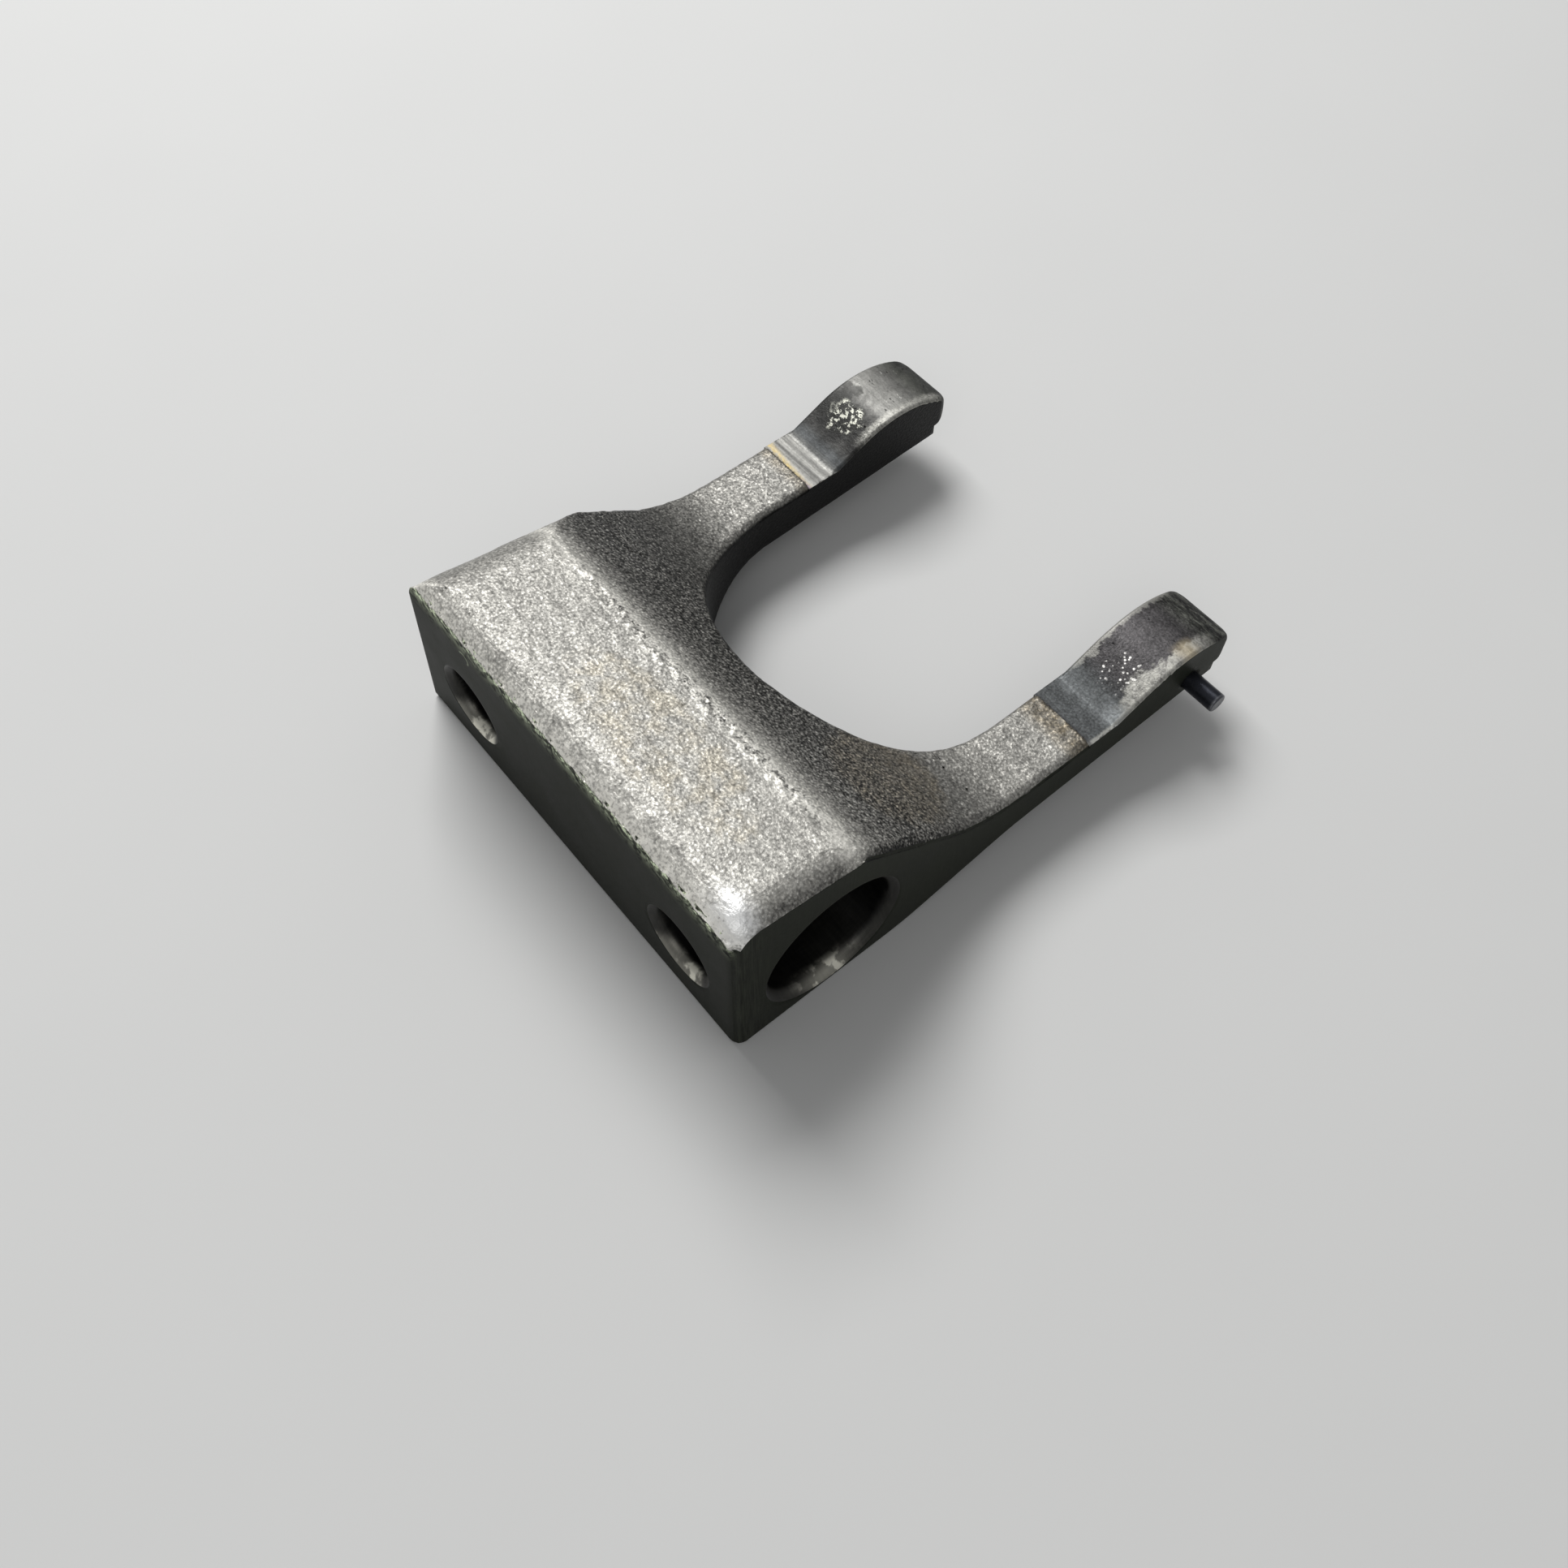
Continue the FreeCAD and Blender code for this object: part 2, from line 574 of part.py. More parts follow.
def is_bore_mouth(edge):
    """True for the circle where the bore leaves the hub's faced right end."""
    return edge.BoundBox.XMin > 0 and all_along(edge, on_end_face) and all_along(edge, on_bore_wall)


mouth = fork.newObject("PartDesign::Chamfer", "bore_mouth")
mouth.Base = (bore, edges_where(bore.Shape, is_bore_mouth))
mouth.setExpression("Size", "(sizes.bore_mouth_diameter - sizes.bore_diameter) / 2")
doc.recompute()

# Two tapped holes from the back face into the bore, at the height of its axis.
tap_view = new_sketch(fork, "tap_view", "XZ_Plane")
tap_view.setExpression("AttachmentOffset.Base.z", "sizes.bore_to_back")
round_hole(tap_view, "right_tap", "sizes.tap_spacing / 2", "0", "sizes.tap_drill_diameter")
round_hole(tap_view, "left_tap", "-sizes.tap_spacing / 2", "0", "sizes.tap_drill_diameter")
doc.recompute()
taps = fork.newObject("PartDesign::Hole", "clamp_taps")
taps.Profile = tap_view
taps.ThreadType = "None"
taps.DepthType = "Dimension"
taps.DrillPoint = "Flat"
taps.HoleCutType = "Countersink"
taps.HoleCutCountersinkAngle = 90
taps.setExpression("Diameter", "sizes.tap_drill_diameter")
taps.setExpression("Depth", "sizes.bore_to_back")
taps.setExpression("HoleCutDiameter", "sizes.tap_mouth_diameter")
doc.recompute()

# The blind hole for the dowel pin, in the outer side of the right prong.
pin_hole_view = new_sketch(fork, "pin_hole_view", "YZ_Plane")
pin_hole_view.setExpression("AttachmentOffset.Base.z", HALF_LENGTH)
round_hole(pin_hole_view, "pin", PIN_ACROSS, PIN_UP, "sizes.pin_diameter")
pin_hole = fork.newObject("PartDesign::Pocket", "pin_hole")
pin_hole.Profile = pin_hole_view
pin_hole.Type = "Length"
pin_hole.setExpression("Length", "sizes.pin_seat_length")
doc.recompute()


def on_nose(point):
    """True for a point on the round nose at a prong's tip."""
    return abs(math.hypot(point.y - nose_y, point.z - nose_z) - nose_radius) < SURFACE_TOLERANCE


def on_pad_side(point):
    """True for a point on the outer side of either wear pad."""
    return abs(abs(point.x) - number(HALF_LENGTH)) < SURFACE_TOLERANCE


def is_pad_edge(edge):
    """True for the wear pads' upper edges, from the foot of the ramp round the nose."""
    if any(vertex.Y < ramp_foot_y - SURFACE_TOLERANCE for vertex in edge.Vertexes):
        return False
    is_high = all(vertex.Z > band_z - SURFACE_TOLERANCE for vertex in edge.Vertexes)
    if not is_high and not all_along(edge, on_nose):
        return False
    return all_along(edge, on_pad_side) or all_along(edge, on_slot_wall)


round_where("pad_edges", is_pad_edge, "sizes.pad_edge_round")

# The dowel pin, pressed into the right prong, with its free end chamfered.
pin = new_body("retainer_pin")
pin_view = new_sketch(pin, "pin_view", "YZ_Plane")
pin_view.setExpression("AttachmentOffset.Base.z", HALF_LENGTH + " - sizes.pin_seat_length")
round_hole(pin_view, "pin", PIN_ACROSS, PIN_UP, "sizes.pin_diameter")
doc.recompute()
shank = pin.newObject("PartDesign::Pad", "pin_shank")
shank.Profile = pin_view
shank.setExpression("Length", "sizes.pin_seat_length + sizes.pin_proud_length")
doc.recompute()


def is_free_end(edge):
    """True for the circle round the pin's free end."""
    return edge.BoundBox.XMin > number(HALF_LENGTH) + SURFACE_TOLERANCE


free_end = pin.newObject("PartDesign::Chamfer", "pin_free_end")
free_end.Base = (shank, edges_where(shank.Shape, is_free_end))
free_end.setExpression("Size", "sizes.pin_end_chamfer")
doc.recompute()

for item in doc.Objects:
    if "Invalid" in item.State or "Error" in item.State:
        raise RuntimeError("%s failed to build" % item.Label)

os.makedirs("parts", exist_ok=True)
for body in (fork, pin):
    shape = body.Shape
    if shape.isNull() or not shape.isValid():
        raise RuntimeError("%s has no valid shape" % body.Label)
    shape.exportStep("parts/%s.step" % body.Label)
    print("%s: %.1f cubic millimetres, %d solid" % (body.Label, shape.Volume, len(shape.Solids)))
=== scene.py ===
import logging
import math
from dataclasses import dataclass, field
from enum import Enum
from typing import Any, Union

import bmesh
import bpy
import numpy as np
from mathutils import Matrix, Vector

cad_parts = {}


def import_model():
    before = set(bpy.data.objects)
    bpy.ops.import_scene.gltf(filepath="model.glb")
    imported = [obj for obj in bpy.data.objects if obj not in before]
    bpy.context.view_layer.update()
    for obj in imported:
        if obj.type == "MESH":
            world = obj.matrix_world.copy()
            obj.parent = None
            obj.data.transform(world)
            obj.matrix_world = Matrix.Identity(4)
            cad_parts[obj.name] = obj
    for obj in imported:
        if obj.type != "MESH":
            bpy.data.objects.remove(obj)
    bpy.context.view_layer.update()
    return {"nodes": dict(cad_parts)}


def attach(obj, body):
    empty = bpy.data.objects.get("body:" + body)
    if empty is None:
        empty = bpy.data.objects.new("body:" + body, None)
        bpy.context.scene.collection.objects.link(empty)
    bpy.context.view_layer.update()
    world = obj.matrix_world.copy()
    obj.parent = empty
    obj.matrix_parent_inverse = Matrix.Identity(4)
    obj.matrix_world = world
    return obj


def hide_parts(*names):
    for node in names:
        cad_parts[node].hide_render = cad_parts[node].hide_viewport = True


log = logging.getLogger("shift_fork")

MM = 0.001
DISPLAY_POWER = 2.2  # The light of a tone is the tone to this power.
ON_SURFACE = 0.05  # How near, in millimetres, a point lies that counts as on a face.
Number = Union[int, float]
Colour = tuple[float, float, float]


class Finish(Enum):
    """The finishes that the forging's faces are sorted into."""

    FORGED = 0
    FACED = 1
    BORED = 2
    GROUND = 3


class Value:
    """A number in a shader: it adds, multiplies and compares as a Python number does."""

    def __init__(self, graph: "Graph", socket: bpy.types.NodeSocket) -> None:
        """Wrap one output socket of a node."""
        self.graph = graph
        self.socket = socket

    def _with(self, operation: str, *others: Any, clamp: bool = False) -> "Value":
        """Join this value to others with one Math node."""
        return self.graph.math(operation, self, *others, clamp=clamp)

    def __add__(self, other: Any) -> "Value":
        """Return self + other."""
        return self._with("ADD", other)

    def __radd__(self, other: Any) -> "Value":
        """Return other + self."""
        return self._with("ADD", other)

    def __sub__(self, other: Any) -> "Value":
        """Return self - other."""
        return self._with("SUBTRACT", other)

    def __rsub__(self, other: Any) -> "Value":
        """Return other - self."""
        return self.graph.math("SUBTRACT", other, self)

    def __mul__(self, other: Any) -> "Value":
        """Return self * other."""
        return self._with("MULTIPLY", other)

    def __rmul__(self, other: Any) -> "Value":
        """Return other * self."""
        return self._with("MULTIPLY", other)

    def __truediv__(self, other: Any) -> "Value":
        """Return self / other."""
        return self._with("DIVIDE", other)

    def __pow__(self, other: Any) -> "Value":
        """Return self to the power other."""
        return self._with("POWER", other)

    def __abs__(self) -> "Value":
        """Return the value without its sign."""
        return self._with("ABSOLUTE")

    def clamp(self) -> "Value":
        """Return the value kept between 0 and 1."""
        return self._with("ADD", 0.0, clamp=True)

    def most(self, other: Any) -> "Value":
        """Return the larger of this value and another."""
        return self._with("MAXIMUM", other)

    def step(self, low: Number, high: Number) -> "Value":
        """Rise smoothly from 0 to 1 as the value goes from low to high.

        Args:
            low: The value at which the result is 0. It may be above high, for a falling edge.
            high: The value at which the result is 1.

        Returns:
            The smooth step, as a value from 0 to 1.
        """
        node = self.graph.node(
            "ShaderNodeMapRange",
            {"interpolation_type": "SMOOTHSTEP"},
            {"Value": self, "From Min": low, "From Max": high},
        )
        return Value(self.graph, node.outputs["Result"])

    def bell(self, centre: Number, width: Number) -> "Value":
        """Rise to 1 at a centre and fall to 0 a width to either side of it."""
        return abs(self - centre).step(width, 0.0)


class Graph:
    """One material's node tree, read in millimetres of the object's own coordinates."""

    def __init__(self, name: str) -> None:
        """Start an empty material.

        Args:
            name: The material's name.
        """
        self.material = bpy.data.materials.new(name)
        self.material.use_nodes = True
        self.tree = self.material.node_tree
        self.tree.nodes.clear()
        place = self.node("ShaderNodeTexCoord", {}, {})
        scaled = self.node(
            "ShaderNodeVectorMath",
            {"operation": "SCALE"},
            {0: place.outputs["Object"], "Scale": 1.0 / MM},
        )
        self.place = scaled.outputs["Vector"]
        parts = self.node("ShaderNodeSeparateXYZ", {}, {0: self.place})
        self.x, self.y, self.z = (Value(self, out) for out in parts.outputs)

    def node(self, kind: str, settings: dict[str, Any], inputs: dict[Any, Any]) -> bpy.types.Node:
        """Add any node.

        Args:
            kind: The node's type.
            settings: Its properties, set before its sockets. "stops" gives a colour ramp's stops.
            inputs: Values, colours or links by socket name or number.

        Returns:
            The new node.
        """
        node = self.tree.nodes.new(kind)
        for name, setting in settings.items():
            if name == "stops":
                self._set_stops(node.color_ramp, setting)
            else:
                setattr(node, name, setting)
        for name, given in inputs.items():
            socket = node.inputs[name]
            if isinstance(given, Value):
                self.tree.links.new(given.socket, socket)
            elif isinstance(given, bpy.types.NodeSocket):
                self.tree.links.new(given, socket)
            elif socket.type == "RGBA":
                socket.default_value = (*given, 1.0)
            else:
                socket.default_value = given
        return node

    @staticmethod
    def _set_stops(ramp: bpy.types.ColorRamp, stops: list[tuple[float, Colour]]) -> None:
        """Give a colour ramp its stops, each a place from 0 to 1 and a colour."""
        while len(ramp.elements) < len(stops):
            ramp.elements.new(0.5)
        for element, (place, colour) in zip(ramp.elements, stops):
            element.position = place
            element.color = (*colour, 1.0)

    def math(self, operation: str, *values: Any, clamp: bool = False) -> Value:
        """Add a Math node and return its result."""
        settings = {"operation": operation, "use_clamp": clamp}
        node = self.node("ShaderNodeMath", settings, dict(enumerate(values)))
        return Value(self, node.outputs[0])

    def noise(
        self,
        size: Number,
        detail: Number = 2.0,
        roughness: Number = 0.5,
        stretch: tuple[float, float, float] = (1.0, 1.0, 1.0),
        offset: tuple[float, float, float] = (0.0, 0.0, 0.0),
        distortion: Number = 0.0,
    ) -> Value:
        """Cloudy noise from 0 to 1 around 0.5.

        Args:
            size: The width of one blotch, in millimetres.
            detail: How many finer layers are added.
            roughness: How strong the finer layers are.
            stretch: How much longer a blotch is along each axis.
            offset: Where the pattern starts, in millimetres.
            distortion: How far the pattern is pulled about.

        Returns:
            The noise.
        """
        mapping = self.node(
            "ShaderNodeMapping",
            {},
            {"Vector": self.place, "Location": offset, "Scale": tuple(1.0 / s for s in stretch)},
        )
        node = self.node(
            "ShaderNodeTexNoise",
            {},
            {
                "Vector": mapping.outputs["Vector"],
                "Scale": 1.0 / size,
                "Detail": detail,
                "Roughness": roughness,
                "Distortion": distortion,
            },
        )
        return Value(self, node.outputs[0])

    def pits(self, size: Number) -> Value:
        """Round pits packed side by side: 0 at a pit's middle, rising to about 1 between them."""
        node = self.node(
            "ShaderNodeTexVoronoi",
            {"feature": "SMOOTH_F1"},
            {"Vector": self.place, "Scale": 1.0 / size, "Smoothness": 0.6},
        )
        return Value(self, node.outputs["Distance"])

    def mark(self, name: str) -> Value:
        """Read a number that the mesh carries at each of its points."""
        node = self.node("ShaderNodeAttribute", {"attribute_name": name}, {})
        return Value(self, node.outputs["Fac"])

    def graded(self, value: Value, steps: tuple[tuple[float, float], ...]) -> Value:
        """Follow a line through steps, each a value and what comes out there.

        Args:
            value: The value to follow.
            steps: The steps, from the lowest value to the highest.

        Returns:
            The line's height at the value, from 0 to 1.
        """
        low, high = steps[0][0], steps[-1][0]
        stops = [((at - low) / (high - low), (out, out, out)) for at, out in steps]
        ramp = self.node("ShaderNodeValToRGB", {"stops": stops}, {0: (value - low) / (high - low)})
        parts = self.node("ShaderNodeSeparateColor", {}, {0: ramp.outputs["Color"]})
        return Value(self, parts.outputs[0])

    def toned(self, tone: Value, tint: Colour) -> bpy.types.NodeSocket:
        """Make a colour of a tint and a tone, a share of full display brightness."""
        return self.mix((0.0, 0.0, 0.0), tint, tone**DISPLAY_POWER)

    def patch(
        self, middle: tuple[float, float], reach: tuple[float, float], ragged: Number
    ) -> Value:
        """An uneven oval patch seen from above: 1 inside, 0 outside, with a soft edge.

        Args:
            middle: Its middle, as x and y.
            reach: Its half widths along x and y.
            ragged: How uneven its edge is.

        Returns:
            The patch.
        """
        across, along = (self.x - middle[0]) / reach[0], (self.y - middle[1]) / reach[1]
        uneven = (self.noise(1.4, 4.0, 0.6) - 0.5) * ragged
        return (across * across + along * along + uneven).step(1.25, 0.65)

    def mix(self, first: Any, second: Any, share: Any) -> bpy.types.NodeSocket:
        """Mix two colours.

        Args:
            first: The colour where the share is 0.
            second: The colour where the share is 1.
            share: A value or number from 0 to 1.

        Returns:
            The mixed colour.
        """
        node = self.node("ShaderNodeMix", {"data_type": "RGBA", "clamp_factor": True}, {})
        wanted = (("Factor", "VALUE", share), ("A", "RGBA", first), ("B", "RGBA", second))
        for name, kind, given in wanted:
            socket = next(s for s in node.inputs if s.name == name and s.type == kind)
            if isinstance(given, (Value, bpy.types.NodeSocket)):
                source = given.socket if isinstance(given, Value) else given
                self.tree.links.new(source, socket)
            else:
                socket.default_value = given if name == "Factor" else (*given, 1.0)
        return next(s for s in node.outputs if s.type == "RGBA")

    def raised(self, height: Value, depth_mm: Number) -> bpy.types.NodeSocket:
        """Bend the surface's normal by a height.

        Args:
            height: The height, where 1 stands for depth_mm.
            depth_mm: How deep the relief is, in millimetres.

        Returns:
            The bent normal.
        """
        inputs = {"Height": height, "Distance": depth_mm * MM, "Strength": 1.0}
        return self.node("ShaderNodeBump", {}, inputs).outputs["Normal"]

    def surface(
        self, colour: Any, roughness: Any, metallic: Any, normal: Any = None, **constants: Any
    ) -> bpy.types.Material:
        """Close the material with one Principled shader.

        Args:
            colour: The base colour.
            roughness: The roughness.
            metallic: How metallic it is.
            normal: The bent normal, if any.
            **constants: Other sockets, as plain numbers, with "_" for a space.

        Returns:
            The finished material.
        """
        inputs = {"Base Color": colour, "Roughness": roughness, "Metallic": metallic}
        if normal is not None:
            inputs["Normal"] = normal
        for name, constant in constants.items():
            inputs[name.replace("_", " ")] = constant
        shader = self.node("ShaderNodeBsdfPrincipled", {}, inputs)
        self.node("ShaderNodeOutputMaterial", {}, {"Surface": shader.outputs[0]})
        return self.material


@dataclass(frozen=True)
class ForgedSteel:
    """Shot-blasted forging skin: silver grain on top, browned in the hollow, with painted light and
    shade: steep walls and the hollow painted dark, the back round and shoulder painted bright, and
    a painted highlight on the near corner.

    A tone is a share of full display brightness, so a tone of 0.7 is the light of 0.7 to the
    power 2.2.
    """

    grain_mm: float = 0.48
    grain_depth_mm: float = 0.055
    tint: Colour = (1.0, 0.975, 0.90)
    tan: Colour = (1.0, 0.90, 0.70)
    brown: Colour = (1.0, 0.80, 0.50)
    # Tint of the painted highlight on the near corner.
    highlight_tint: Colour = (1.0, 1.0, 0.99)
    # Painted light and shade along y: the back round and the shoulder ridge painted bright, the
    # hollow behind the shoulder painted dark.
    lengthwise_light_and_shade: tuple[tuple[float, float], ...] = (
        (-15.2, 1.0),
        (-14.0, 0.84),
        (-12.8, 0.65),
        (1.0, 0.645),
        (3.4, 0.92),
        (5.4, 0.66),
        (8.0, 0.44),
        (12.0, 0.39),
        (21.0, 0.40),
        (31.0, 0.56),
        (41.0, 0.578),
    )

    def material(self, name: str) -> bpy.types.Material:
        """Build the material.

        Args:
            name: The material's name.

        Returns:
            The material.
        """
        g = Graph(name)
        fine = g.noise(0.34, 2.0, 0.6) - 0.5
        medium = g.noise(1.25, 3.0, 0.6) - 0.5
        cloud = g.noise(7.0, 3.0, 0.55, offset=(3.0, 11.0, 5.0)) - 0.5
        pits = g.pits(self.grain_mm)
        shoulder = (g.y + medium * 2.4).bell(2.9, 1.5)
        shoulder = shoulder * g.x.step(-26.0, -16.0) * g.x.step(31.0, 24.0)
        uneven = g.noise(0.8, 3.0, 0.65, offset=(9.0, 1.0, 4.0)) - 0.5
        edge = (g.y + uneven * 1.6).step(-13.5, -14.6) * g.z.step(15.0, 17.0)
        # Painted highlight on the near corner of the back round: a lighter, smoother spot.
        corner_highlight = (g.x + uneven * 3.0).bell(32.7, 7.0) * (g.y + uneven * 2.0).bell(-13.0, 3.9)
        # Painted shade: the rounded right edge darkens as it turns to the side, but not under the
        # corner highlight.
        right_edge_shade = (g.x + uneven * 1.0).step(33.2, 34.7) * g.z.step(8.0, 12.0) * (1.0 - corner_highlight)
        # Painted shade by facing: sideways walls keep only 15% of the level, while upward faces and
        # the back round keep it all.
        back_round = g.y.step(-11.5, -13.5) * g.z.step(15.0, 17.5)
        lit_from_above = g.mark("upward").step(0.10, 0.72).most(back_round * 0.92)
        # The level follows the painted light and shade along y. It is painted darker toward the
        # left to offset the key lamp's stronger light there, and varies at random with the cloud.
        level = g.graded(g.y + cloud * 3.0, self.lengthwise_light_and_shade)
        level = level + g.x * (0.0014 - g.y.step(20.0, 38.0) * 0.0006) + cloud * 0.10
        level = level * (0.15 + lit_from_above * 0.85)
        glint = fine.step(0.09, 0.17)
        grain = fine * 0.66 + medium * 0.12 + (0.34 - pits) * 0.24
        valley = g.y.bell(13.0, 11.0)
        strength = 0.35 + lit_from_above * 0.65 + shoulder * 0.6 + edge * 0.3 + valley * 1.3
        flaky = medium * 0.9 + fine * 0.5 + uneven * 0.5
        # Flecks along the shoulder: lighter scale flakes, and dark flecks painted as the flakes'
        # shade.
        scale_and_shadow_flecks = (flaky.step(0.03, 0.15) * 0.22 - flaky.step(-0.04, -0.17) * 0.34) * shoulder
        tone = level + grain * strength + scale_and_shadow_flecks + uneven * edge * 0.55 + glint * 0.09 * lit_from_above
        tone = tone + corner_highlight * 0.36 - right_edge_shade * 0.16
        colour = g.toned(tone.clamp(), self.tint)
        stain = g.patch((8.0, -5.5), (17.0, 6.0), 1.4) * g.noise(3.2, 3.0, 0.6).step(0.38, 0.64)
        colour = g.mix(colour, g.toned(tone.clamp(), self.tan), stain * 0.55)
        burnt = g.y.step(41.0, 44.0) * g.x.step(20.0, 24.0)
        burnt = burnt + g.y.step(43.0, 45.2) * g.x.step(-20.0, -24.0) * 0.6
        hollow = g.patch((24.0, 18.0), (9.0, 7.0), 1.2) * 0.5
        browned = (burnt * 0.9 + hollow) * (0.7 + medium * 1.6)
        colour = g.mix(colour, g.toned((tone - burnt * 0.16).clamp(), self.brown), browned.clamp())
        colour = g.mix(colour, g.toned(tone.clamp(), self.highlight_tint), corner_highlight)
        height = pits * 0.55 + fine * 1.1 + medium * (0.35 + shoulder * 1.4) + uneven * edge
        normal = g.raised(height, self.grain_depth_mm)
        return g.surface(colour, 0.52 - fine * 0.3 - corner_highlight * 0.12, 0.70, normal)


@dataclass(frozen=True)
class FacedSteel:
    """The machined back and right side: dull grey-green steel with faint upright tool marks, its
    low tone painted shade of these sideways faces.
    """

    tint: Colour = (0.90, 1.0, 0.72)
    # Painted shade: a low tone for faces that turn sideways.
    tone: float = 0.185
    crease_z: float = 18.2
    nick_place: tuple[float, float] = (-21.0, 13.4)
    nick_radius: float = 1.0

    def material(self, name: str) -> bpy.types.Material:
        """Build the material.

        Args:
            name: The material's name.

        Returns:
            The material.
        """
        g = Graph(name)
        marks = g.noise(0.28, 3.0, 0.6, stretch=(1.0, 1.0, 22.0)) - 0.5
        cloud = g.noise(7.0, 3.0, 0.5) - 0.5
        grit = g.noise(0.40, 3.0, 0.6) - 0.5
        blotch = g.noise(0.9, 4.0, 0.65) - 0.5
        back = g.y.step(-14.8, -15.5)
        below = self.crease_z - g.z
        under_crease = (below + blotch * 5.0).step(5.6, 1.2) * back
        flecks = (blotch + grit * 0.8).step(0.02, 0.12)
        flecks = flecks * (below + blotch * 4.0).step(2.6, 0.4) * back
        corner = g.y.step(-9.5, -14.5) * (1.0 - back)
        # Painted shade: the low tone, a little lower on the back. Cloud, tool marks and grit vary
        # it.
        tone = self.tone - back * 0.03 + cloud * 0.07 + marks * (0.05 + corner * 0.26) + grit * 0.05
        tone = tone + under_crease * (0.30 + blotch * 2.6) + flecks * 0.85
        nick = self._nick(g) * back
        colour = g.toned((tone + nick * 0.42).clamp(), self.tint)
        relief = marks * (0.4 + corner) + grit * 0.4 + blotch * under_crease * 3.0 + nick * 1.5
        normal = g.raised(relief, 0.03)
        roughness = 0.50 + cloud * 0.2 + under_crease * 0.08
        return g.surface(colour, roughness, 0.12, normal, Specular_IOR_Level=0.06)

    def _nick(self, g: Graph) -> Value:
        """A curved nick: the part of a thin ring that lies above and right of its middle."""
        across, up = g.x - self.nick_place[0], g.z - self.nick_place[1]
        ring = ((across * across + up * up) ** 0.5).bell(self.nick_radius, 0.28)
        return ring * (across + up).step(-0.6, 0.3)


@dataclass(frozen=True)
class BoredSteel:
    """The walls of the bore and of the tapped holes: painted nearly black deep inside as shade,
    lighter at their mouths, with a painted lit crescent and painted glints.
    """

    tint: Colour = (1.0, 0.97, 0.84)
    # Painted shade: the deep walls are set nearly black.
    deep_tone: float = 0.075
    mouth_tone: float = 0.19

    def material(self, name: str) -> bpy.types.Material:
        """Build the material.

        Args:
            name: The material's name.

        Returns:
            The material.
        """
        g = Graph(name)
        rings = g.noise(0.32, 3.0, 0.6, stretch=(1.0, 12.0, 12.0)) - 0.5
        threads = g.noise(0.35, 2.0, 0.5, stretch=(12.0, 1.0, 12.0)) - 0.5
        cloud = g.noise(3.2, 3.0, 0.55) - 0.5
        patchy = g.noise(2.4, 3.0, 0.55)
        crescent = g.y.bell(-0.5, 7.0)
        bore_mouth = g.x.step(33.4, 34.4)
        tap_mouth = g.y.step(-13.6, -14.6)
        low = g.z.step(-4.0, -8.5)
        # Painted light: a patchy lit crescent on the lower wall just inside the bore's right mouth.
        painted_lit_crescent = g.x.step(32.0, 33.7) * low * crescent * (0.42 + patchy.step(0.50, 0.60) * 0.58)
        glints = tap_mouth * g.z.step(-3.2, -5.0) * (0.42 + patchy.step(0.48, 0.60) * 0.58)
        tone = self.deep_tone + cloud * 0.12 + rings * 0.10 + threads * 0.08
        tone = tone + (bore_mouth.most(tap_mouth)) * (self.mouth_tone - self.deep_tone)
        # The lit crescent and the glints are painted light. The lower bore wall is also a little
        # lighter toward the right mouth.
        tone = tone + painted_lit_crescent * 0.95 + glints * 0.75 + low * g.x.step(15.0, 30.0) * 0.08
        normal = g.raised(rings + threads * tap_mouth, 0.02)
        return g.surface(g.toned(tone.clamp(), self.tint), 0.42 + cloud * 0.2, 0.55, normal)


